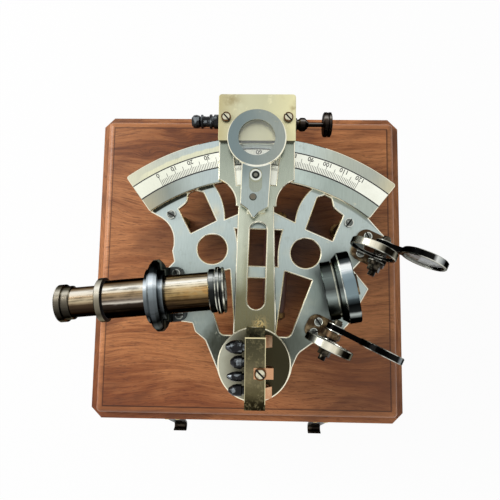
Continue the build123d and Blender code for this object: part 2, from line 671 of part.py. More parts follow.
def build_handle():
    middle = (GRIP_FOOT + GRIP_HEAD) / 2
    length = GRIP_HEAD - GRIP_FOOT - 2 * FERRULE
    half = length / 2
    profile = [(GRIP_R * 0.82, -half), (GRIP_R * 0.9, -half * 0.86), (GRIP_R, -half * 0.45),
               (GRIP_R * 0.96, 0), (GRIP_R, half * 0.45), (GRIP_R * 0.9, half * 0.86), (GRIP_R * 0.82, half)]
    place = Pos(HANDLE_X, middle, GRIP_HEIGHT) * Rot(-90, 0, 0)
    grip = place * turned(profile)
    save("handle_grip", on_lid(grip))
    posts = []
    for y, end, sign in ((POST_FOOT, -half, -1), (POST_HEAD, half, 1)):
        ferrule = turned([(GRIP_R * 0.9, 0), (GRIP_R * 0.9, FERRULE * 0.6), (GRIP_R * 0.55, FERRULE)])
        cap = Pos(HANDLE_X, middle + end, GRIP_HEIGHT) * Rot(-90 * sign, 0, 0) * ferrule
        y_end = middle + end
        lug = block(HANDLE_X - POST_R, HANDLE_X + POST_R, min(y - POST_R, y_end), max(y + POST_R, y_end),
                    GRIP_HEIGHT + GRIP_R + GAP, GRIP_HEIGHT + GRIP_R + 3.0)
        drop = block(HANDLE_X - POST_R, HANDLE_X + POST_R, *sorted((y_end, y_end + sign * 3.0)),
                     GRIP_HEIGHT, GRIP_HEIGHT + GRIP_R + 3.0)
        post = rod(POST_R, GRIP_HEIGHT + GRIP_R + GAP, FRAME_TOP - FRAME_PLATE, HANDLE_X, y)
        posts.append(on_lid(cap + lug + drop + post))
    save("handle_posts", *posts)


def pad_screws():
    """Screws of the telescope's and the shades' feet, as X, Y and the pad's thickness."""
    points = []
    across = radians(SIGHT_TURN)
    for ahead, aside in STAND_SCREWS:
        points.append((SIGHT_X + ahead * cos(across) - aside * sin(across),
                       SIGHT_Y + ahead * sin(across) + aside * cos(across), STAND_PAD))
    for pair in (HORIZON_SHADES, INDEX_SHADES):
        turn = radians(pair["turn"])
        for apart in pair["screws"]:
            along = EAR_START + EAR / 2 + apart
            points.append((pair["x"] - SHADE_SCREW_IN * cos(turn) + along * sin(turn),
                           pair["y"] - SHADE_SCREW_IN * sin(turn) - along * cos(turn), SHADE_FOOT))
    return points


def build_frame_screws():
    tool = screw(HEAD_R * 0.9, HEAD * 0.8, SHANK_R, FRAME_PLATE + 4)
    legs = [on_lid(Pos(x, y, FRAME_TOP) * Rot(0, 0, 35 * x) * tool) for x, y in LEG_POINTS]
    short = [on_lid(Pos(x, y, FRAME_TOP + pad) * Rot(0, 0, 50 * y)
                    * screw(HEAD_R * 0.8, HEAD * 0.7, SHANK_R, pad + 2)) for x, y, pad in pad_screws()]
    save("frame_screws", *legs, *short)


def build_telescope():
    half = COLLAR / 2
    collar = turned([(COLLAR_R - 1.4, -half), (COLLAR_R, -half + 1.4), (COLLAR_R, half - 1.4),
                     (COLLAR_R - 1.4, half), (COLLAR_BOSS_R, half), (COLLAR_BOSS_R, half + COLLAR_BOSS)])
    collar += rod(COLLAR_BACK_R, -half - COLLAR_BACK, -half)
    along = facing(SIGHT_X, SIGHT_Y, SIGHT_HEIGHT, SIGHT_TURN) * Pos(0, 0, COLLAR_AHEAD)
    ring = along * collar
    place = Pos(SIGHT_X, SIGHT_Y, FRAME_TOP) * Rot(0, 0, SIGHT_TURN)
    pad_end = STAND_SCREWS[0][0] + HEAD_R + 1.2
    pad = block(0, pad_end, -STAND_PAD_HALF, STAND_PAD_HALF, 0, STAND_PAD)
    pad = fillet(pad.edges().filter_by(Axis.Z), 4.5)
    web = block(COLLAR_AHEAD - half, COLLAR_AHEAD + half, -STAND_HALF, STAND_HALF, 0, STAND_WEB)
    stand = place * (pad + web) + ring
    stand -= along * rod(TUBE_R + FIT, -COLLAR_R, COLLAR_R)
    for x, y, _ in pad_screws()[:2]:
        stand -= rod(SHANK_R + FIT, FRAME_TOP - 1, FRAME_TOP + STAND_PAD + 1, x, y)
    save("telescope_stand", on_lid(stand))
    ring_front = TUBE_BACK + TUBE_RING
    tube = turned([(TUBE_RING_R - 0.6, TUBE_BACK), (TUBE_RING_R, TUBE_BACK + 0.6), (TUBE_RING_R, ring_front),
                   (TUBE_R, ring_front + 0.6), (TUBE_R, TUBE_FRONT)])
    tube -= rod(TUBE_BORE_R, TUBE_BACK - 1, TUBE_FRONT + 1)
    tube -= rod(LENS_BORE_R, TUBE_FRONT - LENS_BORE, TUBE_FRONT + 1)
    save("telescope_tube", on_sight_line(tube))
    start = TUBE_FRONT + OBJECTIVE[0][1]
    bezel = Pos(0, 0, TUBE_FRONT) * turned(OBJECTIVE)
    bezel -= rod(TUBE_R + FIT, start - 1, TUBE_FRONT)
    bezel -= rod(LENS_BORE_R - 0.6, start, TUBE_FRONT + OBJECTIVE[-1][1] + 1)
    save("objective_ring", on_sight_line(bezel))
    save("objective_lens", on_sight_line(rod(LENS_BORE_R - FIT, TUBE_FRONT - OBJECTIVE_LENS, TUBE_FRONT)))
    draw = rod(DRAW_R, DRAW_BACK, DRAW_FRONT) - rod(DRAW_BORE_R, DRAW_BACK - 1, DRAW_FRONT + 1)
    save("draw_tube", on_sight_line(draw))
    cup = turned([(EYE_CUP_R - 0.8, EYE_CUP_BACK), (EYE_CUP_R, EYE_CUP_BACK + 0.8), (EYE_CUP_R, EYE_CUP),
                  (EYE_FLANGE_R, EYE_CUP + 0.3), (EYE_FLANGE_R, EYE_FLANGE - 0.4),
                  (EYE_FLANGE_R - 0.4, EYE_FLANGE)])
    cup -= rod(DRAW_R + FIT, DRAW_BACK, EYE_FLANGE + 1)
    cup -= rod(DRAW_BORE_R - 2.4, EYE_CUP_BACK - 1, DRAW_BACK + 1)
    cup -= Pos(0, 0, EYE_CUP_BACK) * Cone(EYE_CUP_R - 1.6, DRAW_BORE_R - 2.4, EYE_DISH, align=BOTTOM)
    save("eyepiece_cup", on_sight_line(cup))
    save("eye_lens", on_sight_line(rod(DRAW_BORE_R - FIT, DRAW_BACK, DRAW_BACK + 2.6)))


def horizon_place():
    """Centre of the horizon mirror, its own Z towards the telescope."""
    return facing(HORIZON_X, HORIZON_Y, SIGHT_HEIGHT + 0.5, 180 + HORIZON_TURN) * Rot(0, -HORIZON_LEAN, 0)


def build_horizon_mirror():
    half = HORIZON_RING / 2
    neck = HORIZON_DRUM_R - 0.7
    ring = turned([(HORIZON_R - 0.4, -half), (HORIZON_R, -half + 0.4), (HORIZON_R, half - 0.3),
                   (HORIZON_R - 0.3, half), (neck + 1.3, 2 * half), (neck, 2 * half), (neck, 2 * half + 0.8),
                   (HORIZON_DRUM_R, 2 * half + 0.9), (HORIZON_DRUM_R, HORIZON_DRUM - 0.4),
                   (HORIZON_DRUM_R - 0.4, HORIZON_DRUM)])
    ring -= rod(HORIZON_OPEN_R, -half - 1, HORIZON_DRUM + 1)
    seat = HORIZON_DRUM - HORIZON_LIP
    ring -= rod(HORIZON_SEAT_R, -half - 1, seat)
    save("horizon_ring", on_lid(horizon_place() * ring))
    glass = rod(HORIZON_SEAT_R - FIT, seat - HORIZON_GLASS, seat)
    save("horizon_mirror", on_lid(horizon_place() * glass))
    place = Pos(HORIZON_X, HORIZON_Y, FRAME_TOP) * Rot(0, 0, HORIZON_TURN)
    start = SADDLE_BACK - half
    saddle = block(start, SADDLE_BACK + half + 1.2, -SADDLE_WIDTH / 2, SADDLE_WIDTH / 2, 0, SADDLE_RISE)
    foot = block(start, SADDLE_BACK + half + 5.0, -SADDLE_WIDTH / 2 + 2, SADDLE_WIDTH / 2 - 2, 0, 2.2)
    stand = place * (saddle + foot)
    stand -= horizon_place() * rod(HORIZON_R + FIT, -12, half + 12)
    save("horizon_stand", on_lid(stand))


def shade_line(pair, along):
    """Point on a shade bolt, its own Z along the bolt and its own X level, away from the telescope."""
    turn = radians(pair["turn"])
    direction = (sin(turn), -cos(turn), 0)
    origin = (pair["x"] + along * direction[0], pair["y"] + along * direction[1], BOLT_HEIGHT)
    return Plane(origin=origin, x_dir=(cos(turn), sin(turn), 0), z_dir=direction).location


def shade_ring(reach):
    """Ring, arm and hub of one shade, its hub at the origin and its ring along X."""
    half = SHADE_RING / 2
    rim = turned([(SHADE_R - 0.4, -half), (SHADE_R, -half + 0.4), (SHADE_R, half - 0.4),
                  (SHADE_R - 0.4, half)])
    rim = Pos(reach, 0, 0) * rim
    wide = SHADE_ARM_WIDTH / 2
    arm = block(0, reach - SHADE_SEAT_R, -wide, wide, -SHADE_ARM / 2, SHADE_ARM / 2)
    body = rim + arm + rod(SHADE_HUB_R, -half, half)
    body -= rod(SHADE_OPEN_R, -half - 1, half + 1, reach, 0)
    body -= rod(SHADE_SEAT_R, -SHADE_GLASS / 2, half + 1, reach, 0)
    return body - rod(SHADE_BORE_R, -half - 1, half + 1)


def build_shades():
    stands = []
    pins = []
    for name, pair in (("horizon", HORIZON_SHADES), ("index", INDEX_SHADES)):
        places = (("folded", NEAR_SHADE, pair["near"]), ("upright", FAR_SHADE, pair["far"]))
        for place, along, (reach, angle) in places:
            hub = shade_line(pair, along) * Rot(0, 0, angle)
            save(f"{name}_shade_{place}", on_lid(hub * shade_ring(reach)))
            glass = rod(SHADE_SEAT_R - FIT, -SHADE_GLASS / 2, SHADE_GLASS / 2, reach, 0)
            save(f"{name}_glass_{place}", on_lid(hub * glass))
        ear_foot = FRAME_TOP - BOLT_HEIGHT
        start = shade_line(pair, EAR_START)
        ear = block(-EAR_WIDTH / 2, EAR_WIDTH / 2, ear_foot, 0, 0, EAR) + rod(EAR_WIDTH / 2, 0, EAR)
        middle = EAR / 2
        back, front = [middle + apart for apart in pair["screws"]]
        foot = block(-SHADE_FOOT_LENGTH, EAR_WIDTH / 2, ear_foot, ear_foot + SHADE_FOOT,
                     back - SHADE_FOOT_ROUND, front + SHADE_FOOT_ROUND)
        foot = fillet(foot.edges().filter_by(Axis.Y).group_by(Axis.X)[0], SHADE_FOOT_ROUND + 1.5)
        stand = start * (ear + foot - rod(SHADE_PIN_R + FIT, -1, EAR + 1))
        for x, y, _ in pad_screws()[2:]:
            stand -= rod(SHANK_R + FIT, FRAME_TOP - 1, FRAME_TOP + SHADE_FOOT + 1, x, y)
        stands.append(on_lid(stand))
        low = NEAR_SHADE - SHADE_RING / 2
        pin = rod(SHADE_PIN_R, 0, PIN_END) + rod(PIN_HEAD_R, low - GAP - PIN_HEAD, low - GAP)
        pin += rod(NUT_R, EAR_START + EAR + FIT, FAR_SHADE - SHADE_RING / 2 - GAP)
        nut = extrude(RegularPolygon(NUT_R, 6), amount=NUT)
        pin += rod(WASHER_R, NUT_START - WASHER + GAP, NUT_START) + Pos(0, 0, NUT_START) * nut
        pins.append(on_lid(shade_line(pair, 0) * pin))
    save("shade_stands", *stands)
    save("shade_pins", *pins)


def arm_outline():
    """Right edge of the index arm, from its foot round to its end."""
    neck, bend, shoulder = ARM_COVE
    return [Line((ARM_WIDTH_FOOT, 0), (ARM_WIDTH_NECK, ARM_NECK)), Line((ARM_WIDTH_NECK, ARM_NECK), neck),
            ThreePointArc(neck, bend, shoulder), Line(shoulder, (shoulder[0], ARM_END))]


def build_index_arm():
    right = arm_outline()
    left = [edge.mirror(Plane.YZ) for edge in right]
    edges = right + left + [Line((-ARM_COVE[2][0], ARM_END), (ARM_COVE[2][0], ARM_END)),
                            Line((-ARM_WIDTH_FOOT, 0), (ARM_WIDTH_FOOT, 0))]
    outline = make_face(Curve() + edges)
    arm = Pos(0, 0, ARM_FOOT) * extrude(outline, amount=ARM, dir=(0, 0, 1))
    arm += rod(DISC_R - 1.5, ARM_FOOT, ARM_TOP)
    (foot_x, foot_y), (head_x, head_y) = ARM_SLOT_FOOT, ARM_SLOT_HEAD
    arm -= plate([(foot_x - ARM_SLOT, foot_y, 0), (foot_x + ARM_SLOT, foot_y, 0),
                  (head_x + ARM_SLOT, head_y, 0), (head_x - ARM_SLOT, head_y, 0)], ARM_FOOT - 1, ARM_TOP + 1)
    for x, y in (ARM_SLOT_FOOT, ARM_SLOT_HEAD):
        arm -= rod(ARM_SLOT, ARM_FOOT - 1, ARM_TOP + 1, x, y)
    arm -= sector(WINDOW_INNER, WINDOW_OUTER, WINDOW_ANGLE, ARM_FOOT - 1, ARM_TOP + 1)
    arm = softened(arm, EDGE)
    arm -= rod(PIVOT_R, ARM_FOOT - 1, ARM_TOP + 1)
    for side in (-1, 1):
        arm -= rod(SHANK_R + FIT, ARM_FOOT - 1, ARM_TOP + 1, side * BLOCK_SCREW_X, BLOCK_SCREW_Y)
    half = PEDESTAL_HALF
    arm += block(-half, half, PEDESTAL_FOOT, WINDOW_INNER - 1, ARM_TOP, LOUPE_FOOT - SLIDE)
    arm += block(-half, half, WINDOW_INNER - 2, PEDESTAL_HEAD, ARM_TOP + BRIDGE_GAP, LOUPE_FOOT - SLIDE)
    arm += rod(GUIDE_R, LOUPE_FOOT - 1, LOUPE_FOOT + LOUPE_PLATE - 0.4, LOUPE_SLOT_X,
               LOUPE_SLOT_HEAD)
    save("index_arm", on_arm(arm))
    plate_top = ARM_FOOT + VERNIER_PLATE
    save("vernier_scale", on_arm(sector(WINDOW_INNER, SCALE_INNER - GAP, WINDOW_ANGLE, ARM_FOOT, plate_top)))


def spindle_place(side):
    """Where the tangent screw or the clamp screw enters the vernier block."""
    return Pos(side * BLOCK_HALF, TANGENT_Y if side > 0 else CLAMP_Y, SCREW_AXIS_HEIGHT)


def build_vernier_block():
    cap = [(BLOCK_HALF, BLOCK_FOOT, BLOCK_CORNER), (BLOCK_HALF, BLOCK_HEAD, BLOCK_CORNER),
           (-BLOCK_HALF, BLOCK_HEAD, BLOCK_CORNER), (-BLOCK_HALF, BLOCK_FOOT, BLOCK_CORNER)]
    cap = softened(plate(cap, ARM_TOP, ARM_TOP + BLOCK_TOP), EDGE)
    half = BLOCK_HALF - 0.4
    carrier = block(-half, half, CARRIER_FOOT, CARRIER_HEAD, CARRIER_LOW, ARM_FOOT)
    for side in (-1, 1):
        x = side * BLOCK_SCREW_X
        hole = rod(SHANK_R + FIT, ARM_FOOT - BLOCK_THREAD - EASY, ARM_TOP + BLOCK_TOP + 1, x, BLOCK_SCREW_Y)
        bore = Rot(0, 90, 0) * Cylinder(SPINDLE_R + FIT, 2 * (SPINDLE_IN + 1))
        bore = spindle_place(side) * bore
        cap -= hole
        carrier -= hole
        carrier -= bore
    save("vernier_block", on_arm(cap), on_arm(carrier))


def spindle(profile, side):
    """Turned screw standing out of one side of the vernier block."""
    body = turned(profile) + rod(SPINDLE_R, -SPINDLE_IN, 1.0)
    return spindle_place(side) * Rot(0, 90 * side, 0) * body


def build_knobs():
    save("tangent_screw", on_arm(spindle(TANGENT, 1)))
    save("clamp_screw", on_arm(spindle(CLAMP, -1)))


def build_index_mirror():
    disc = softened(rod(DISC_R, ARM_TOP, DISC_TOP), EDGE)
    save("index_disc", on_arm(disc - rod(PIVOT_R, ARM_TOP - 1, DISC_TOP + 1)))
    low = DISC_TOP
    foot = block(-MIRROR_HALF, MIRROR_HALF, MIRROR_BACK, MIRROR_TAB, low, low + MIRROR_SHEET)
    back = block(-MIRROR_HALF, -MIRROR_HALF + MIRROR_SHEET, MIRROR_BACK, MIRROR_FRONT, low, MIRROR_TOP)
    top = block(-MIRROR_HALF, MIRROR_HALF, MIRROR_BACK, MIRROR_FRONT, MIRROR_TOP - MIRROR_SHEET, MIRROR_TOP)
    bracket = foot + back + top
    glass_low = low + MIRROR_SHEET
    glass_high = MIRROR_TOP - MIRROR_SHEET
    glass_back = MIRROR_HALF - MIRROR_GLASS
    adjusters = []
    for y, radius, out in ADJUSTERS:
        height = (glass_low + glass_high) / 2 + (2.0 if radius > 3 else 0.5)
        place = Pos(-MIRROR_HALF, y, height) * Rot(0, -90, 0)
        bracket -= place * Cylinder(ADJUSTER_SHAFT_R + FIT, 3 * MIRROR_SHEET)
        dome = turned([(radius * 0.7, 0.2), (radius * 0.7, 1.4), (radius, 1.8), (radius, out * 0.5),
                       (radius * 0.86, out * 0.74), (radius * 0.45, out * 0.95), (radius * 0.3, out)])
        adjusters.append(on_mirror(place * (dome + rod(ADJUSTER_SHAFT_R, -glass_back - MIRROR_HALF, 1.0))))
    hole = rod(SHANK_R + FIT, MIRROR_TOP - 2 * MIRROR_SHEET, MIRROR_TOP + 1, CLIP_SCREW_X, 0)
    save("index_mirror_bracket", on_mirror(bracket - hole))
    save("mirror_adjusters", *adjusters)
    glass = block(glass_back, MIRROR_HALF, MIRROR_BACK + 1, MIRROR_FRONT - 1, glass_low, glass_high)
    save("index_mirror", on_mirror(glass))
    build_clips(glass_low, hole)


def clip(profile, y_low, y_high):
    """Bent spring strip from points in the X-Z plane."""
    path = Polyline(*profile)
    strip = make_face(offset(path, CLIP / 2, side=Side.BOTH))
    return Pos(0, y_high, 0) * extrude(Plane.XZ * strip, amount=y_high - y_low, dir=(0, -1, 0))


def build_clips(floor_height, hole):
    bow = MIRROR_HALF + CLIP_BOW
    touch = MIRROR_HALF + CLIP / 2
    top = MIRROR_TOP + CLIP / 2
    upper = clip([(CLIP_SCREW_X - 3.0, top), (bow, top), (bow, top - 4.5), (touch, top - 8.0)],
                 -UPPER_CLIP / 2, UPPER_CLIP / 2) - hole
    low = floor_height + CLIP / 2
    lower = [clip([(touch, low + 6.5), (bow, low + 3.0), (bow - 1.0, low - 1.6), (touch, low - 1.6)],
                  start, start + LOWER_CLIP) for start in LOWER_CLIPS]
    save("mirror_clips", on_mirror(upper), *[on_mirror(piece) for piece in lower])


def build_magnifier():
    low = LOUPE_FOOT
    high = low + LOUPE_PLATE
    neck = LENS_Y - LENS_R + 2
    sheet = plate(LOUPE_TAIL + [(LOUPE_NECK, neck, 0), (-LOUPE_NECK, neck, 0)], low, high)
    sheet += rod(LENS_R, low, high, 0, LENS_Y)
    sheet = softened(sheet, EDGE)
    sheet -= rod(LENS_OPEN_R, low - 1, high + 1, 0, LENS_Y)
    sheet -= rod(LENS_GLASS_R, low + LENS_SEAT, low + LENS_SEAT + LENS_GLASS, 0, LENS_Y)
    x = LOUPE_SLOT_X
    slot = block(x - LOUPE_SLOT_R, x + LOUPE_SLOT_R, LOUPE_SLOT_FOOT, LOUPE_SLOT_HEAD, low - 1, high + 1)
    for y in (LOUPE_SLOT_FOOT, LOUPE_SLOT_HEAD):
        slot += rod(LOUPE_SLOT_R, low - 1, high + 1, x, y)
    sheet -= slot
    sheet += rod(LOUPE_PIN_R, high - 0.5, high + 0.9, LOUPE_PIN_X, LOUPE_PIN_Y)
    save("magnifier_arm", on_arm(sheet))
    glass = rod(LENS_GLASS_R - FIT, low + LENS_SEAT, low + LENS_SEAT + LENS_GLASS, 0, LENS_Y)
    save("magnifier_lens", on_arm(glass))


def build_arm_fasteners():
    nut = FRAME_TOP - FRAME_PLATE - GAP
    bolt = rod(PIVOT_R, nut - 1, DISC_TOP) + rod(NUT_UNDER_R, nut - NUT_UNDER, nut)
    save("pivot_bolt", on_arm(bolt))
    plates = ARM + BLOCK_TOP
    block_screws = [on_arm(Pos(side * BLOCK_SCREW_X, BLOCK_SCREW_Y, ARM_TOP + BLOCK_TOP) * Rot(0, 0, -48)
                           * screw(HEAD_R * 0.95, HEAD, SHANK_R, plates + BLOCK_THREAD)) for side in (-1, 1)]
    clip_top = MIRROR_TOP + CLIP
    clip_screw = on_mirror(Pos(CLIP_SCREW_X, 0, clip_top) * Rot(0, 0, -45)
                        * screw(HEAD_R, HEAD, SHANK_R, MIRROR_SHEET + CLIP))
    save("arm_screws", *block_screws, clip_screw)


def main():
    os.makedirs("parts", exist_ok=True)
    build_box()
    build_hinges()
    build_lid()
    build_latches()
    build_frame()
    build_limb()
    build_legs()
    build_handle()
    build_frame_screws()
    build_telescope()
    build_horizon_mirror()
    build_shades()
    build_index_arm()
    build_vernier_block()
    build_knobs()
    build_index_mirror()
    build_magnifier()
    build_arm_fasteners()


main()
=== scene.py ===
import json
import math
from collections import namedtuple

import bmesh
import bpy
from bpy.props import FloatProperty, FloatVectorProperty, IntProperty, PointerProperty
from mathutils import Matrix, Vector


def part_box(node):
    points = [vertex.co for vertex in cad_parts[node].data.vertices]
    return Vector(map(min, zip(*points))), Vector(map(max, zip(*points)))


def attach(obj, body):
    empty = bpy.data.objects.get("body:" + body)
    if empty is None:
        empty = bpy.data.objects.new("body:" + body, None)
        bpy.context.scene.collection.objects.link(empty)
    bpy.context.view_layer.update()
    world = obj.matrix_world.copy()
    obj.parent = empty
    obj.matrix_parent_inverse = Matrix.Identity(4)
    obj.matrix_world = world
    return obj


# Finish, graduations, knurling and stage for a wooden sextant box with its sextant on the lid.

bl_info = {
    "name": "Sextant box",
    "version": (1, 0, 0),
    "blender": (4, 5, 0),
    "location": "View3D > Sidebar > Sextant box",
    "description": "Dresses the wooden box and the brass sextant that stands on its lid",
    "category": "Object",
}

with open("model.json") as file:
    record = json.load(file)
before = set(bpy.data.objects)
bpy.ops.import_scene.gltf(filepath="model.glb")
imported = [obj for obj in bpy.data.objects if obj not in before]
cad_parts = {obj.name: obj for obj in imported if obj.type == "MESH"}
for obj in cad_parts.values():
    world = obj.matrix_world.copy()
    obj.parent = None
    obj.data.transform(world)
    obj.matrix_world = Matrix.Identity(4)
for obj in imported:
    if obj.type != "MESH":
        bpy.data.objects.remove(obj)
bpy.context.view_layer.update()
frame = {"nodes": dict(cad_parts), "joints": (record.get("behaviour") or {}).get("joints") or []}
NODES = frame["nodes"]
JOINTS = {joint["name"]: joint for joint in frame["joints"]}

MM = 0.001
IN_MM = 1000  # metres to millimetres, in a shader

# Where the sextant stands: its pivot on the lid, and how far its frame and its arm are turned.
LID_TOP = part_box("lid_panel")[1][2]
PIVOT = Vector((*JOINTS["index_arm_swing"]["pos_m"][:2], LID_TOP))
FRAME_TURN = math.radians(-1.15)
ARM_TURN = math.radians(1.2)
ON_LID = Matrix.Translation(PIVOT) @ Matrix.Rotation(FRAME_TURN, 4, "Z")
ON_ARM = ON_LID @ Matrix.Rotation(ARM_TURN, 4, "Z")


def radii(node):
    """Least and greatest distance of a node from the pivot."""
    reach = [(vertex.co.xy - PIVOT.xy).length for vertex in NODES[node].data.vertices]
    return min(reach), max(reach)


# The limb lies on the frame's plate, and the disc on the arm's.
FRAME_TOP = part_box("arc_limb")[0][2]
ARM_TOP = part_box("index_disc")[0][2]

# The scale and the vernier: heights above the lid, radii about the pivot, and degrees of arc.
LIMB_INNER = radii("arc_limb")[0] / MM
SCALE_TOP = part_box("arc_scale")[1][2] - LID_TOP
STRIP_GAP = 0.05 * MM  # clearance of the silvered strip in its step in the limb
SCALE_INNER = radii("arc_scale")[0] - STRIP_GAP
SCALE_OUTER = radii("arc_scale")[1] + STRIP_GAP
ZERO_MARK = -29.76
DIVISION = 0.4855
VERNIER_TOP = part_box("vernier_scale")[1][2] - LID_TOP
VERNIER_INNER, VERNIER_EDGE = radii("vernier_scale")
VERNIER_ZERO = -6.6
VERNIER_DIVISION = 0.22
ENGRAVED = 0.02 * MM

# The grooves round the lid's moulding, as distance from its middle in millimetres.
INNER_GROOVE = 95.7
OUTER_GROOVE = 101.3

# Radius of the magnifier's lens ring and its middle on the arm; the guide post and the rivet on its stem.
MAGNIFIER_EDGE = 17.4
MAGNIFIER_Y = 128.1
POST = (-0.4, 106.2)
RIVET = (-1.8, 93.3)

# Front edge of the telescope tube's end ring, ahead of the collar in millimetres.
TUBE_RING = -26.7

# Grazing tone of the turned metals.
DULL = (0.25, 0.25, 0.25, 1.0)

# The painted highlight lines on the plates' edges: how far they lie above the face, and how thick they are.
EDGE_LIFT = 0.03 * MM
EDGE_THICKNESS = 0.05 * MM

# How much of its pitch a knurled rib takes.
RIB_SHARE = 0.62

# The photograph's camera: its place above the lid in millimetres, its turns, and its focal length as a
# share of the picture's width.
EYE = (7.49, -17.67, 286.12)
EYE_TURNS = ((-0.845, "Z"), (-5.452, "X"), (-1.229, "Y"))
FOCAL_SHARE = 0.84

# How much of the floor's white comes from itself; shadows show in the rest.
FLOOR_GLOW = 0.96


def facing(x, y, z, azimuth):
    """Place whose own Z points along a level direction, with its own X upwards."""
    turn = math.radians(azimuth)
    ahead = Vector((math.cos(turn), math.sin(turn), 0))
    up = Vector((0, 0, 1))
    aside = ahead.cross(up)
    axes = Matrix((up, aside, ahead)).transposed().to_4x4()
    return Matrix.Translation(Vector((x, y, z)) * MM) @ axes


SIGHT_LINE = ON_LID @ facing(-53.0, 36.3, 62.0, 6.8)
HORIZON = ON_LID @ facing(48.4, 44.2, 62.5, 192.9) @ Matrix.Rotation(math.radians(-8.5), 4, "Y")


def on_joint(name):
    """Place on a joint, its own Z along the joint's level axis, with its own X upwards."""
    axis = JOINTS[name]["axis"]
    spot = Vector(JOINTS[name]["pos_m"]) / MM
    return facing(*spot, math.degrees(math.atan2(axis[1], axis[0])))


def shade_middle(shade, reach, angle):
    """Middle of a shade's ring: millimetres from its bolt, and degrees round it."""
    turn = Matrix.Rotation(math.radians(angle - 90), 4, "Z")
    return on_joint(f"{shade}_swing") @ turn @ Matrix.Translation((reach * MM, 0, 0))


def tint(red, green, blue):
    """A colour as it looks on the screen, from 0 to 255, for a shader."""
    return tuple((value / 255) ** 2.2 for value in (red, green, blue))


def tints(stops):
    return [(place, tint(*colour)) for place, colour in stops]


class Term:
    """One output of a node, used in ordinary arithmetic."""

    def __init__(self, tree, socket):
        self.tree = tree
        self.socket = socket

    def _math(self, operation, *terms):
        return self.tree.node("ShaderNodeMath", {"operation": operation}, dict(enumerate(terms)))

    def __add__(self, other):
        return self._math("ADD", self, other)

    __radd__ = __add__

    def __sub__(self, other):
        return self._math("SUBTRACT", self, other)

    def __rsub__(self, other):
        return self._math("SUBTRACT", other, self)

    def __mul__(self, other):
        return self._math("MULTIPLY", self, other)

    __rmul__ = __mul__

    def __truediv__(self, other):
        return self._math("DIVIDE", self, other)

    def __abs__(self):
        return self._math("ABSOLUTE", self)

    def __mod__(self, other):
        return self._math("FLOORED_MODULO", self, other)

    def __gt__(self, other):
        return self._math("GREATER_THAN", self, other)

    def __lt__(self, other):
        return self._math("LESS_THAN", self, other)

    def of(self, operation, *others):
        """Any other Math operation on this value."""
        return self._math(operation, self, *others)

    def between(self, low, high):
        """0 below low, 1 above high, and smooth in between."""
        settings = {"interpolation_type": "SMOOTHSTEP"}
        inputs = {"Value": self, "From Min": low, "From Max": high}
        return self.tree.node("ShaderNodeMapRange", settings, inputs)


class Tree:
    """Adds nodes to a shader or geometry tree."""

    def __init__(self, tree):
        self.tree = tree

    def node(self, kind, settings=None, inputs=None, output=0):
        made = self.tree.nodes.new(kind)
        for name, value in (settings or {}).items():
            if name == "stops":
                self._set_stops(made.color_ramp, value)
            else:
                setattr(made, name, value)
        for name, value in (inputs or {}).items():
            socket = made.inputs[name]
            if isinstance(value, Term):
                self.tree.links.new(value.socket, socket)
            else:
                socket.default_value = value
        return Term(self, made.outputs[output]) if made.outputs else made

    @staticmethod
    def _set_stops(ramp, stops):
        while len(ramp.elements) < len(stops):
            ramp.elements.new(1.0)
        for element, (place, colour) in zip(ramp.elements, stops):
            element.position = place
            element.color = (*colour, 1.0)


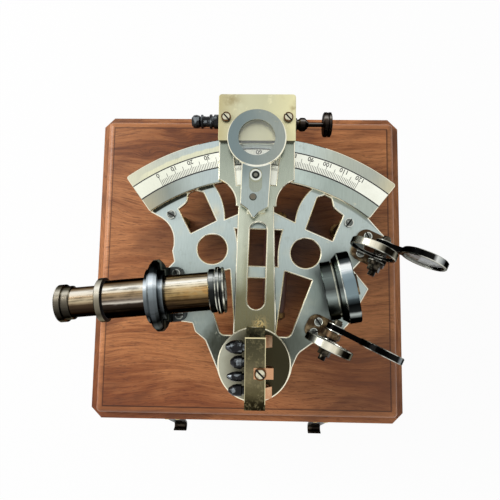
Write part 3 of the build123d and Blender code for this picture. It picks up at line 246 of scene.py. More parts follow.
class Finish(Tree):
    """A material built from Object coordinates."""

    def __init__(self, name):
        self.material = bpy.data.materials.new(name)
        self.material.use_nodes = True
        super().__init__(self.material.node_tree)
        self.tree.nodes.clear()

    def place(self, matrix=None):
        """Object coordinates, or the coordinates of a place on the object."""
        point = self.node("ShaderNodeTexCoord", output="Object")
        if matrix is None:
            return point
        inputs = {"Vector": point, "Location": matrix.to_translation(), "Rotation": matrix.to_euler()}
        return self.node("ShaderNodeMapping", {"vector_type": "TEXTURE"}, inputs)

    def slope(self):
        """How far the surface is from level, 0 to 1, on the object itself."""
        normal = self.node("ShaderNodeTexCoord", output="Normal")
        return 1 - abs(self.split(normal)[2])

    def split(self, vector):
        made = self.node("ShaderNodeSeparateXYZ", None, {0: vector}).socket.node
        return [Term(self, socket) for socket in made.outputs]

    def join(self, x, y, z):
        return self.node("ShaderNodeCombineXYZ", None, {0: x, 1: y, 2: z})

    def stretched(self, vector, sizes):
        return self.node("ShaderNodeVectorMath", {"operation": "MULTIPLY"}, {0: vector, 1: sizes})

    def noise(self, vector, scale, detail=3.0, roughness=0.5, distortion=0.0):
        inputs = {"Vector": vector, "Scale": scale, "Detail": detail, "Roughness": roughness,
                  "Distortion": distortion}
        return self.node("ShaderNodeTexNoise", None, inputs)

    def ramp(self, value, stops):
        return self.node("ShaderNodeValToRGB", {"stops": stops}, {0: value})

    def mix(self, share, first, second):
        """Mix two colours."""
        colours = [value if isinstance(value, Term) else (*value, 1.0) for value in (first, second)]
        inputs = {0: share, 6: colours[0], 7: colours[1]}
        return self.node("ShaderNodeMix", {"data_type": "RGBA"}, inputs, output=2)

    def polar(self, point):
        """Millimetres from the Z axis, and degrees from Y towards X."""
        x, y, _ = self.split(point)
        return (x * x + y * y).of("SQRT") * IN_MM, x.of("ARCTAN2", y) * (180 / math.pi)

    def from_spot(self, x, y, centre):
        """Millimetres from a place in the plan."""
        dx, dy = x * IN_MM - centre[0], y * IN_MM - centre[1]
        return (dx * dx + dy * dy).of("SQRT")

    def spot(self, x, y, centre, radius):
        """1 at a place in the plan, fading to nothing at about twice a radius, in millimetres."""
        dx, dy = x * IN_MM - centre[0], y * IN_MM - centre[1]
        return ((dx * dx + dy * dy) * (-1 / radius ** 2)).of("EXPONENT")

    def bump(self, height, distance, strength=1.0):
        inputs = {"Height": height, "Distance": distance, "Strength": strength}
        return self.node("ShaderNodeBump", None, inputs)

    def surface(self, colour, roughness, metallic=0.0, normal=None, **others):
        """Finish the material with one Principled shader."""
        inputs = {"Roughness": roughness, "Metallic": metallic}
        inputs["Base Color"] = colour if isinstance(colour, Term) else (*colour, 1.0)
        if normal is not None:
            inputs["Normal"] = normal
        inputs.update({name.replace("_", " "): value for name, value in others.items()})
        shader = self.node("ShaderNodeBsdfPrincipled", None, inputs)
        self.node("ShaderNodeOutputMaterial", None, {"Surface": shader})
        return self.material


def paint(material, *names):
    """Give CAD nodes a material."""
    for name in names:
        slots = NODES[name].data.materials
        slots.clear()
        slots.append(material)


def wood(name, tone, walls=False, knots=(), shade=(), moulded=False):
    """Oiled hardwood, its grain along X or along each wall, darker at its knots, with painted shade at the
    given spots.
    """
    finish = Finish(name)
    x, y, z = finish.split(finish.place())
    if walls:
        side = abs(x) > abs(y)
        along = x + side * (y - x)
        across = y + side * (x - y)
    else:
        along, across = x, y
    warp = finish.noise(finish.join(along * 7, across * 10, z * 10), 1.0, 2.0)
    across = across + (warp - 0.5) * 0.045
    knot = None
    for centre, radius in knots:
        spot = finish.spot(x * 0.5 + centre[0] * 0.5 * MM, y, centre, radius)
        knot = spot if knot is None else knot + spot
    if knot is not None:
        across = across + knot * 0.004
    band = finish.noise(finish.join(along * 6, across * 30, z * 30), 1.0, 4.0, 0.6, 0.6)
    streak = finish.noise(finish.join(along * 20, across * 330, z * 330), 1.0, 6.0, 0.7)
    fine = finish.noise(finish.join(along * 60, across * 1300, z * 1300), 1.0, 2.0)
    pores = finish.noise(finish.join(along * 230, across * 2800, z * 2800), 1.0, 1.0)
    value = band * 0.60 + streak * 0.40
    grain = [(0.35, tone.dark), (0.45, tone.middle), (0.56, tone.light), (0.64, tone.middle)]
    colour = finish.ramp(value, grain)
    veins = streak.between(0.56, 0.70) * 0.45 + fine.between(0.52, 0.75) * 0.35
    pore = pores.between(0.60, 0.68) * 0.5
    colour = finish.mix(veins, colour, tone.dark)
    colour = finish.mix(pore, colour, tone.pore)
    # Painted shade towards the top left and painted light towards the right, evening out the key lamp.
    colour = finish.mix((y * 3.0 - x * 3.0).between(0.1, 0.6) * 0.3, colour, tone.dark)
    colour = finish.mix((x * 4.0 - y).between(0.1, 0.5) * 0.2, colour, tone.light)
    colour = finish.mix((y * -10.0).between(0.4, 0.95) * 0.3, colour, tone.red)
    slanted = finish.join(along * 9 + across * 6, across * 34 - along * 11, z * 30)
    blotch = finish.noise(slanted, 1.0, 3.0, 0.6)
    colour = finish.mix(blotch.between(0.50, 0.68) * 0.5, colour, tone.dark)
    if knot is not None:
        colour = finish.mix((knot * (0.5 + streak)).between(0.3, 1.0) * 0.42, colour, tone.dark)
    # Painted shade at the given spots: middle and radius in millimetres, and share.
    if shade:
        unshaded = 1.0
        for centre, radius, share in shade:
            unshaded = (1 - finish.spot(x, y, centre, radius) * share) * unshaded
        colour = finish.mix(1 - unshaded, colour, tint(32, 17, 11))
    # Painted shade along the two grooves round the moulding; the swell between them is lighter.
    if moulded:
        reach = abs(x).of("MAXIMUM", abs(y)) * IN_MM
        groove = 1 - abs(reach - INNER_GROOVE).between(0.25, 0.75)
        groove = groove + 1 - abs(reach - OUTER_GROOVE).between(0.25, 0.8)
        swell = (reach > INNER_GROOVE + 0.6) * (reach < OUTER_GROOVE - 0.7)
        colour = finish.mix(swell * 0.25, colour, tone.light)
        colour = finish.mix(groove * 0.75, colour, tone.pore)
    roughness = 0.38 + pore * 0.2 + fine * 0.1
    height = fine * 0.4 - pore
    return finish.surface(colour, roughness, 0.0, finish.bump(height, 0.00012, 0.5), Coat_Weight=0.08,
                          Coat_Roughness=0.2, Specular_IOR_Level=0.3)


def brush(finish, point):
    """Marks of a brush along a plate's own Y."""
    return finish.noise(finish.stretched(point, (2600, 160, 800)), 1.0, 3.0)


def plated(finish, colour, stain, brushed, edge, roughness):
    """The stains and brush marks that every plate has, a painted highlight on its sloped edges, and its
    shader.
    """
    colour = finish.mix(stain.between(0.57, 0.72) * 0.30, colour, tint(120, 128, 118))
    fleck = abs(stain - 0.5).between(0.16, 0.22) * 0.4
    colour = finish.mix(fleck, colour, tint(222, 216, 188))
    colour = finish.mix((brushed - 0.5) * 0.5 + 0.12, colour, tint(112, 120, 112))
    # Painted highlight on the sloped edges.
    edge_highlight = finish.slope().between(0.06, 0.2)
    colour = finish.mix(edge_highlight, colour, edge)
    rough = roughness + (brushed - 0.5) * 0.12 - edge_highlight * 0.12
    return finish.surface(colour, rough, 1.0, finish.bump(brushed, 0.00001, 0.3))


def dark_metal(name, base, bright, roughness=0.28):
    """Polished dark metal with lighter rubbed places."""
    finish = Finish(name)
    point = finish.place()
    cloud = finish.noise(point, 160.0, 4.0, 0.6)
    scratch = finish.noise(finish.stretched(point, (900, 900, 5200)), 1.0, 2.0)
    colour = finish.mix(cloud.between(0.48, 0.66) * 0.75, base, bright)
    rough = roughness + cloud * 0.14 + (scratch - 0.5) * 0.14
    return finish.surface(colour, rough, 1.0, finish.bump(scratch, 0.00001, 0.25))


def round_tone(finish, place, stops, flow=0.05):
    """Painted highlights and reflections round the Z axis of a place, from one side over the top to the
    other, broken by streaks.
    """
    up, aside, ahead = finish.split(finish.place(place))
    turn = aside.of("ARCTAN2", up) * (1 / math.pi) + 0.5
    cloud = finish.noise(finish.join(turn * 5, ahead * 70, 1.0), 1.0, 4.0, 0.6)
    streak = finish.noise(finish.join(turn * 34, ahead * 16, 5.0), 1.0, 3.0)
    colour = finish.ramp(turn + (cloud - 0.5) * flow + (streak - 0.5) * 0.03, tints(stops))
    return colour, turn, ahead * IN_MM, cloud, streak


def turned_metal(name, place, stops, roughness=0.22, flow=0.05, lines=(), line_tone=(215, 212, 195)):
    """Polished metal turned round the Z axis of a place, with painted highlights and reflections round it and
    painted highlight lines at some heights.
    """
    finish = Finish(name)
    colour, _, ahead, cloud, streak = round_tone(finish, place, stops, flow)
    colour = finish.mix(streak.between(0.57, 0.70) * 0.35, colour, tint(24, 23, 21))
    for height, half in lines:
        line = 1 - abs(ahead - height).between(half * 0.6, half)
        colour = finish.mix(line * (0.1 + cloud.between(0.38, 0.6) * 0.85), colour, tint(*line_tone))
    return finish.surface(colour, roughness + cloud * 0.14, 1.0, Specular_Tint=DULL)


def bronze_tube(name, back, front=None, ring=None):
    """Bronzed tube round the telescope's axis, with painted highlights and reflections: tones behind and
    ahead of the collar, and of its end ring.
    """
    finish = Finish(name)
    colour, turn, ahead, cloud, streak = round_tone(finish, SIGHT_LINE, back)
    rough = 0.14 + cloud * 0.12
    if front is not None:
        ahead_tone = round_tone(finish, SIGHT_LINE, front, 0.07)[0]
        # Painted golden highlight on the top of the tube ahead of the collar.
        facing_up = 1 - abs(turn - 0.50).between(0.03, 0.12)
        gold = cloud.between(0.40, 0.62) * ahead.between(10.0, 24.0) * facing_up * 0.8
        ahead_tone = finish.mix(gold, ahead_tone, tint(204, 146, 74))
        colour = finish.mix(ahead > 2.0, colour, ahead_tone)
    colour = finish.mix((streak * 0.5 + cloud * 0.5).between(0.47, 0.60) * 0.62, colour, tint(50, 40, 31))
    if ring is not None:
        end_tone = round_tone(finish, SIGHT_LINE, ring, 0.03)[0]
        colour = finish.mix(ahead < TUBE_RING, colour, end_tone)
        shadow = (ahead > TUBE_RING) * (ahead < TUBE_RING + 0.9)
        colour = finish.mix(shadow, colour, (0.005, 0.004, 0.004))
        return finish.surface(colour, rough + shadow * 0.4, 1.0 - shadow, Specular_Tint=DULL)
    return finish.surface(colour, rough, 1.0, Specular_Tint=DULL)


def screw_metal(name, heads, face, rim):
    """Slotted screws: a face inside a darker rim, with painted shade in the slots and in a thin ring round
    the face; heads as X, Y, top and radius.
    """
    finish = Finish(name)
    x, y, z = finish.split(finish.place())
    cloud = finish.noise(finish.place(), 700.0, 3.0)
    inside = slot_and_ring_shade = None
    for head_x, head_y, top, radius in heads:
        share = finish.from_spot(x, y, (head_x, head_y)) * (1 / radius)
        here = 1 - share.between(0.70, 0.80)
        # Painted shade in the slot and in a thin ring round the face.
        ring = 1 - abs(share - 0.78).between(0.03, 0.09)
        sunk = (z * IN_MM < top - 0.3) * (share < 1.1)
        inside = here if inside is None else inside + here
        slot_and_ring_shade = ring * 0.7 + sunk if slot_and_ring_shade is None else slot_and_ring_shade + ring * 0.7 + sunk
    colour = finish.mix(inside.of("MINIMUM", 1.0), rim, face)
    colour = finish.mix(cloud.between(0.5, 0.68) * 0.55, colour, rim)
    slot_and_ring_shade = slot_and_ring_shade.of("MINIMUM", 1.0)
    colour = finish.mix(slot_and_ring_shade, colour, tint(26, 23, 18))
    return finish.surface(colour, 0.24 + slot_and_ring_shade * 0.3, 1.0 - slot_and_ring_shade * 0.6)


# The colours of one piece of wood.
Tone = namedtuple("Tone", "light middle dark red pore")


def new_piece(name, mesh, body, material, place=None):
    """Put a finished mesh in the scene and let it ride on a body."""
    mesh.name = name
    if place is not None:
        mesh.transform(place)
    mesh.materials.clear()
    mesh.materials.append(material)
    piece = bpy.data.objects.new(name, mesh)
    bpy.context.scene.collection.objects.link(piece)
    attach(piece, body)
    return piece


def plain_mesh(source):
    """The evaluated mesh of an object, which is then removed."""
    bpy.context.scene.collection.objects.link(source)
    bpy.context.view_layer.update()
    graph = bpy.context.evaluated_depsgraph_get()
    mesh = bpy.data.meshes.new_from_object(source.evaluated_get(graph))
    bpy.data.objects.remove(source)
    return mesh


def grown_mesh(group, values):
    """Run a geometry tree with named inputs and keep its mesh."""
    source = bpy.data.objects.new(group.name, bpy.data.meshes.new(group.name))
    modifier = source.modifiers.new(group.name, "NODES")
    modifier.node_group = group
    for item in group.interface.items_tree:
        if item.in_out == "INPUT" and item.name in values:
            modifier[item.identifier] = values[item.name]
    return plain_mesh(source)


def geometry_tree(name, sizes):
    """An empty geometry tree with the given named inputs, and the inputs' values."""
    group = bpy.data.node_groups.new(name, "GeometryNodeTree")
    kinds = {int: "NodeSocketInt", float: "NodeSocketFloat"}
    for title, value in sizes.items():
        socket = group.interface.new_socket(title, in_out="INPUT", socket_type=kinds[type(value)])
        socket.default_value = value
    group.interface.new_socket("Material", in_out="INPUT", socket_type="NodeSocketMaterial")
    group.interface.new_socket("Geometry", in_out="OUTPUT", socket_type="NodeSocketGeometry")
    tree = Tree(group)
    made = group.nodes.new("NodeGroupInput")
    inputs = {socket.name: Term(tree, socket) for socket in made.outputs if socket.name}
    return tree, inputs


def end_tree(tree, inputs, points, shape, rotation, scale):
    """Instance a shape on points, make it real and give it its material."""
    placed = tree.node("GeometryNodeInstanceOnPoints", None,
                       {"Points": points, "Instance": shape, "Rotation": rotation, "Scale": scale})
    real = tree.node("GeometryNodeRealizeInstances", None, {"Geometry": placed})
    done = tree.node("GeometryNodeSetMaterial", None, {"Geometry": real, "Material": inputs["Material"]})
    tree.node("NodeGroupOutput", None, {"Geometry": done})
    return tree.tree


def marks_tree():
    """Scale marks along an arc, longer at every fifth and tenth."""
    sizes = {"Marks": 121, "Start": 0.0, "Step": 0.5, "Radius": 0.114, "Short": 0.0024, "Middle": 0.0034,
             "Long": 0.0042, "Width": 0.00014, "Thickness": 0.00005}
    tree, size = geometry_tree("Scale marks", sizes)
    index = tree.node("GeometryNodeInputIndex")
    fifth = (index + 0.5) % 5 < 1
    tenth = (index + 0.5) % 10 < 1
    length = size["Short"] + fifth * (size["Middle"] - size["Short"])
    length = length + tenth * (size["Long"] - size["Middle"])
    turn = (size["Start"] + index * size["Step"]) * (math.pi / 180)
    radius = size["Radius"] + length * 0.5
    across = {0: radius * turn.of("SINE"), 1: radius * turn.of("COSINE")}
    spot = tree.node("ShaderNodeCombineXYZ", None, across)
    line = tree.node("GeometryNodeMeshLine", None, {"Count": size["Marks"]})
    points = tree.node("GeometryNodeMeshToPoints", None, {"Mesh": line})
    points = tree.node("GeometryNodeSetPosition", None, {"Geometry": points, "Position": spot})
    angle = tree.node("ShaderNodeCombineXYZ", None, {2: turn * -1})
    stretch = tree.node("ShaderNodeCombineXYZ", None, {0: size["Width"], 1: length, 2: size["Thickness"]})
    shape = tree.node("GeometryNodeMeshCube")
    return end_tree(tree, size, points, shape, angle, stretch)


def ribs_tree():
    """Straight knurling: ribs round an axis."""
    sizes = {"Ribs": 60, "Radius": 0.01, "Length": 0.003, "Width": 0.0005, "Height": 0.0005}
    tree, size = geometry_tree("Knurling", sizes)
    index = tree.node("GeometryNodeInputIndex")
    circle = tree.node("GeometryNodeMeshCircle", None, {"Vertices": size["Ribs"], "Radius": size["Radius"]})
    points = tree.node("GeometryNodeMeshToPoints", None, {"Mesh": circle})
    angle = tree.node("ShaderNodeCombineXYZ", None, {2: index * (2 * math.pi) / size["Ribs"]})
    stretch = tree.node("ShaderNodeCombineXYZ", None,
                        {0: size["Height"], 1: size["Width"], 2: size["Length"]})
    shape = tree.node("GeometryNodeMeshCylinder", None, {"Vertices": 6, "Radius": 0.5, "Depth": 1.0})
    return end_tree(tree, size, points, shape, angle, stretch)


def knurl(name, place, radius, low, high, ribs, body, material, depth=0.5):
    """A knurled band round the Z axis of a place, from low to high in millimetres."""
    group = bpy.data.node_groups.get("Knurling") or ribs_tree()
    width = 2 * math.pi * radius / ribs * RIB_SHARE
    values = {"Ribs": ribs, "Radius": (radius - depth / 2) * MM, "Length": (high - low) * MM,
              "Width": width * MM, "Height": depth * MM, "Material": material}
    mesh = grown_mesh(group, values)
    middle = Matrix.Translation((0, 0, (low + high) / 2 * MM))
    return new_piece(name, mesh, body, material, place @ middle)


def edge_line(name, node, height, width, body, material):
    """A narrow bright line along the edges of a plate's top face: a painted highlight."""
    edges = bmesh.new()
    edges.from_mesh(NODES[node].data)
    bmesh.ops.remove_doubles(edges, verts=edges.verts, dist=1e-6)
    low = [face for face in edges.faces
           if face.normal.z < 0.99 or abs(face.calc_center_median().z - height) > 2e-5]
    bmesh.ops.delete(edges, geom=low, context="FACES")
    rim = bmesh.ops.inset_region(edges, faces=edges.faces[:], thickness=width, use_boundary=True,
                                 use_even_offset=True)["faces"]
    kept = set(rim)
    bmesh.ops.delete(edges, geom=[face for face in edges.faces if face not in kept], context="FACES")
    bmesh.ops.translate(edges, verts=edges.verts, vec=(0, 0, EDGE_LIFT))
    bmesh.ops.solidify(edges, geom=edges.verts[:] + edges.edges[:] + edges.faces[:], thickness=EDGE_THICKNESS)
    bmesh.ops.recalc_face_normals(edges, faces=edges.faces[:])
    mesh = bpy.data.meshes.new(name)
    edges.to_mesh(mesh)
    edges.free()
    return new_piece(name, mesh, body, material)


class WoodSettings(bpy.types.PropertyGroup):
    """Colours of the box."""

    light: FloatVectorProperty(name="Light grain", description="Lightest colour of the wood", subtype="COLOR",
                               default=tint(216, 144, 92))
    middle: FloatVectorProperty(name="Middle grain", description="Usual colour of the wood", subtype="COLOR",
                                default=tint(158, 96, 57))
    dark: FloatVectorProperty(name="Dark grain", description="Colour of the dark streaks", subtype="COLOR",
                              default=tint(84, 44, 27))


class MetalSettings(bpy.types.PropertyGroup):
    """Colours of the metal."""

    warm: FloatVectorProperty(name="Warm patches", description="Where the patina is thin", subtype="COLOR",
                              default=tint(196, 198, 178))
    # Colour of the painted highlight along the plates' edges.
    edge: FloatVectorProperty(name="Edge highlights", description="Bright brass at the edges", subtype="COLOR",
                              default=tint(246, 240, 214))


class ScaleSettings(bpy.types.PropertyGroup):
    """Sizes of the graduations."""

    marks: IntProperty(name="Marks", description="Number of divisions and one", default=121, min=2)
    figure: FloatProperty(name="Figure height", description="Size of the scale's figures", default=3.7 * MM,
                          unit="LENGTH")
    figure_radius: FloatProperty(name="Figure radius", description="Middle of the figures from the pivot",
                                 default=122.8 * MM, unit="LENGTH")
    line: FloatProperty(name="Line width", description="Width of a division mark", default=0.27 * MM,
                        unit="LENGTH")


class StageSettings(bpy.types.PropertyGroup):
    """Light and camera."""

    key: FloatProperty(name="Key light", description="Power of the large light", default=17.5, unit="POWER")
    fill: FloatProperty(name="Fill light", description="Power of the second light", default=1.2, unit="POWER")
    sky: FloatProperty(name="Sky", description="Strength of the surrounding light", default=0.30, min=0.0)


class SEXTANT_OT_woodwork(bpy.types.Operator):
    """Give the box, the lid and the handle their wood and felt"""

    bl_idname = "sextant.woodwork"
    bl_label = "Woodwork"
    bl_options = {"REGISTER", "UNDO"}

    def execute(self, context):
        colours = context.scene.sextant_wood
        tone = Tone(tuple(colours.light), tuple(colours.middle), tuple(colours.dark), tint(112, 48, 26),
                    tint(52, 30, 21))
        knots = [((-55.0, 92.0), 4.5), ((-47.0, 88.0), 3.0), ((-72.0, 76.0), 3.0), ((-93.0, -20.0), 3.5)]
        # Painted shade on the lid under the sextant's frame.
        shade = [((38.0, 24.0), 42.0, 0.84), ((8.0, -6.0), 34.0, 0.66), ((-20.0, 38.0), 32.0, 0.74)]
        paint(wood("Lid wood", tone, knots=knots, shade=shade, moulded=True), "lid_panel")
        paint(wood("Inside wood", tone), "box_floor", "cradle_blocks")
        paint(wood("Wall wood", tone, walls=True), "lid_rim", "box_front_wall", "box_back_wall",
              "box_side_walls")
        grip = Tone((0.10, 0.035, 0.02), (0.06, 0.02, 0.012), (0.025, 0.01, 0.008), (0.06, 0.02, 0.012),
                    (0.01, 0.005, 0.004))
        paint(wood("Grip wood", grip), "handle_grip")
        felt = Finish("Felt")
        fuzz = felt.noise(felt.place(), 2200.0, 2.0)
        colour = felt.mix(fuzz, (0.015, 0.06, 0.03), (0.04, 0.13, 0.07))
        felt = felt.surface(colour, 0.95, 0.0, felt.bump(fuzz, 0.0003), Sheen_Weight=0.4)
        paint(felt, "floor_lining", "lid_lining")
        return {"FINISHED"}


class SEXTANT_OT_fittings(bpy.types.Operator):
    """Finish the hinges and the latches"""

    bl_idname = "sextant.fittings"
    bl_label = "Hinges and latches"
    bl_options = {"REGISTER", "UNDO"}

    def execute(self, context):
        brass = dark_metal("Hinge brass", (0.48, 0.36, 0.17), (0.70, 0.56, 0.30), 0.32)
        paint(brass, "hinge_lower_leaves", "hinge_upper_leaves", "hinge_pins", "latch_plates", "latch_pins",
              "latch_catches", "box_screws", "lid_screws")
        dark = dark_metal("Hasp bronze", tint(34, 30, 27), tint(84, 76, 66), 0.34)
        paint(dark, "latch_left_hasp", "latch_right_hasp")
        return {"FINISHED"}


class SEXTANT_OT_frame(bpy.types.Operator):
    """Finish the lattice frame, the limb and what stands on the frame"""

    bl_idname = "sextant.frame"
    bl_label = "Frame"
    bl_options = {"REGISTER", "UNDO"}

    def execute(self, context):
        metal = context.scene.sextant_metal
        paint(self.lattice(metal), "frame")
        paint(self.limb(metal), "arc_limb")
        # Painted highlight lines along the frame's top edges.
        edge_highlight = Finish("Worn edge").surface(tint(255, 255, 244), 0.4, 0.0)
        edge_line("frame_edge_lines", "frame", FRAME_TOP, 0.32 * MM, "sextant", edge_highlight)
        brass = dark_metal("Turned brass", tint(84, 66, 40), tint(150, 122, 78), 0.3)
        paint(brass, "legs", "handle_posts")
        patina = dark_metal("Foot patina", tint(72, 58, 44), tint(158, 138, 106), 0.4)
        paint(patina, "shade_stands", "horizon_stand")
        heads = [(-44.9, 26.4, 153.7, 2.7), (60.2, 22.6, 153.7, 2.7), (5.3, -73.2, 153.7, 2.7),
                 (-37.9, -32.4, 156.5, 2.4), (-40.3, -8.6, 156.5, 2.4), (70.6, 14.4, 155.5, 2.4),
                 (66.1, 4.5, 155.5, 2.4), (42.0, -35.2, 155.5, 2.4), (39.2, -41.0, 155.5, 2.4)]
        paint(screw_metal("Frame screws", heads, tint(92, 96, 92), tint(206, 210, 200)), "frame_screws")
        return {"FINISHED"}

    def lattice(self, metal):
        """Blue-grey plate that darkens towards the pivot, with a golden patch at the left window and a
        painted shadow along the limb's inner edge.
        """
        finish = Finish("Frame plate")
        point = finish.place(ON_LID)
        x, y, _ = finish.split(point)
        radius, turn = finish.polar(point)
        cloud = finish.noise(point, 34.0, 4.0, 0.6)
        stain = finish.noise(point, 105.0, 5.0, 0.7)
        tone = finish.ramp((radius + (cloud - 0.5) * 26) * 0.01, tints([
            (0.14, (50, 50, 40)), (0.25, (60, 62, 54)), (0.29, (84, 88, 80)), (0.35, (140, 150, 144)),
            (0.58, (172, 185, 181)), (0.90, (186, 199, 196))]))
        tone = finish.mix((x * IN_MM - y * 250).between(-4.0, 30.0) * 0.22, tone, tint(150, 160, 150))
        tone = finish.mix(cloud.between(0.52, 0.66) * 0.4, tone, tuple(metal.warm))
        gold = finish.spot(x, y, (-37.0, 101.5), 5.0) + finish.spot(x, y, (-27.0, 86.0), 4.0) * 0.5
        tone = finish.mix(gold * stain.between(0.40, 0.52), tone, tint(238, 222, 176))
        # Painted shadow on the plate along the limb's inner edge, weaker towards the right.
        painted_shade = 1 - abs(radius - (LIMB_INNER - 0.5)).between(0.6, 1.3)
        painted_shade = painted_shade * (1 - turn.between(-12.0, 20.0) * 0.6)
        tone = finish.mix(painted_shade, tone, tint(26, 24, 20))
        return plated(finish, tone, stain, brush(finish, point), tuple(metal.edge), 0.26 + cloud * 0.16)

    def limb(self, metal):
        """Limb with a painted sheen at its left end and a painted shadow along its inner edge."""
        finish = Finish("Limb plate")
        point = finish.place(ON_LID)
        radius, turn = finish.polar(point)
        cloud = finish.noise(point, 30.0, 4.0, 0.6)
        stain = finish.noise(point, 85.0, 5.0, 0.7)
        place = (turn + 40 + (cloud - 0.5) * 8) * (1 / 80)
        outer = finish.ramp(place, tints([
            (0.05, (208, 207, 182)), (0.15, (196, 199, 184)), (0.30, (188, 200, 198)),
            (0.42, (184, 200, 204)), (0.62, (202, 216, 212)), (0.76, (182, 188, 174)),
            (0.88, (174, 178, 166)), (0.97, (206, 198, 166))]))
        inner = finish.ramp(place, tints([
            (0.04, (170, 164, 140)), (0.13, (140, 146, 138)), (0.24, (182, 194, 190)),
            (0.38, (186, 200, 202)), (0.62, (196, 210, 202)), (0.76, (162, 174, 166)),
            (0.92, (170, 180, 170))]))
        # Painted sheen on the outer band at the left end.
        share = (radius - 125) * (1 / 7)
        cream = 1 - (share + (cloud - 0.5) * 1.4 - (turn + 20) * 0.02).between(0.38, 0.52)
        cream = cream * (1 - turn.between(-11.0, -7.0)) * turn.between(-37.0, -31.0)
        outer = finish.mix(cream * 0.85, outer, tint(228, 226, 192))
        tone = finish.mix(radius > 120.0, inner, outer)
        # Painted shadow along the inner edge, weaker towards the right.
        black = 1 - (radius - LIMB_INNER).between(0.35, 0.85)
        tone = finish.mix(black * (1 - turn.between(-5.0, 25.0) * 0.4), tone, tint(22, 21, 18))
        return plated(finish, tone, stain, brush(finish, point), tuple(metal.edge), 0.24 + cloud * 0.16)


class SEXTANT_OT_scale(bpy.types.Operator):
    """Silver the scale and the vernier and engrave them"""

    bl_idname = "sextant.scale"
    bl_label = "Scale and vernier"
    bl_options = {"REGISTER", "UNDO"}

    def execute(self, context):
        sizes = context.scene.sextant_scale
        self.silvering("Scale silver", SCALE_INNER, SCALE_OUTER, 0.75 * MM, "arc_scale")
        self.silvering("Vernier silver", VERNIER_INNER, VERNIER_EDGE, 0.3 * MM, "vernier_scale")
        ink = Finish("Engraving")
        ink = ink.surface((0.015, 0.014, 0.013), 0.6)
        group = marks_tree()
        values = {"Marks": sizes.marks, "Start": ZERO_MARK, "Step": DIVISION,
                  "Radius": SCALE_INNER + 0.45 * MM, "Short": 3.9 * MM, "Middle": 6.2 * MM, "Long": 6.4 * MM,
                  "Width": sizes.line, "Thickness": 0.06 * MM, "Material": ink}
        top = Matrix.Translation((0, 0, SCALE_TOP + ENGRAVED))
        new_piece("scale_marks", grown_mesh(group, values), "sextant", ink, ON_LID @ top)
        values.update({"Marks": 61, "Start": VERNIER_ZERO, "Step": VERNIER_DIVISION,
                       "Radius": VERNIER_EDGE - 3.4 * MM, "Short": 1.6 * MM, "Middle": 2.2 * MM,
                       "Long": 3.0 * MM, "Width": 0.12 * MM})
        top = Matrix.Translation((0, 0, VERNIER_TOP + ENGRAVED))
        new_piece("vernier_marks", grown_mesh(group, values), "index_arm", ink, ON_ARM @ top)
        self.figures(sizes, ink)
        return {"FINISHED"}

    def silvering(self, name, inner, outer, border, node):
        """Silvered brass with a black line along both edges of the strip."""
        finish = Finish(name)
        point = finish.place(ON_LID)
        radius, turn = finish.polar(point)
        line = (radius < (inner + border) / MM) + (radius > (outer - border) / MM)
        cloud = finish.noise(point, 120.0, 3.0)
        grain = finish.noise(finish.stretched(point, (900, 3600, 900)), 1.0, 2.0)
        colour = finish.mix(turn.between(-34.0, -8.0), tint(210, 212, 196), tint(246, 248, 234))
        colour = finish.mix(cloud.between(0.4, 0.75) * 0.3, colour, tint(216, 217, 200))
        colour = finish.mix(line, colour, (0.01, 0.01, 0.01))
        paint(finish.surface(colour, 0.36 + grain * 0.1, 0.85 - line * 0.85), node)

    def figures(self, sizes, ink):
        """Figures at every tenth division, read from outside the arc."""
        meshes = []
        for value in range(0, 121, 10):
            curve = bpy.data.curves.new(f"figure_{value}", "FONT")
            curve.body = str(value)
            curve.size = sizes.figure
            curve.align_x = "CENTER"
            curve.align_y = "CENTER"
            curve.extrude = 0.03 * MM
            curve.offset = 0.045 * MM
            curve.resolution_u = 3
            mesh = plain_mesh(bpy.data.objects.new(curve.name, curve))
            turn = Matrix.Rotation(-math.radians(ZERO_MARK + value * DIVISION), 4, "Z")
            spot = Matrix.Translation((0, sizes.figure_radius, SCALE_TOP + ENGRAVED))
            mesh.transform(ON_LID @ turn @ spot @ Matrix.Rotation(math.pi, 4, "Z"))
            meshes.append(mesh)
        new_piece("scale_figures", joined(meshes), "sextant", ink)


def joined(meshes):
    """One mesh from several."""
    corners, faces = [], []
    for mesh in meshes:
        start = len(corners)
        corners += [tuple(vertex.co) for vertex in mesh.vertices]
        faces += [[start + index for index in face.vertices] for face in mesh.polygons]
    whole = bpy.data.meshes.new("joined")
    whole.from_pydata(corners, [], faces)
    return whole


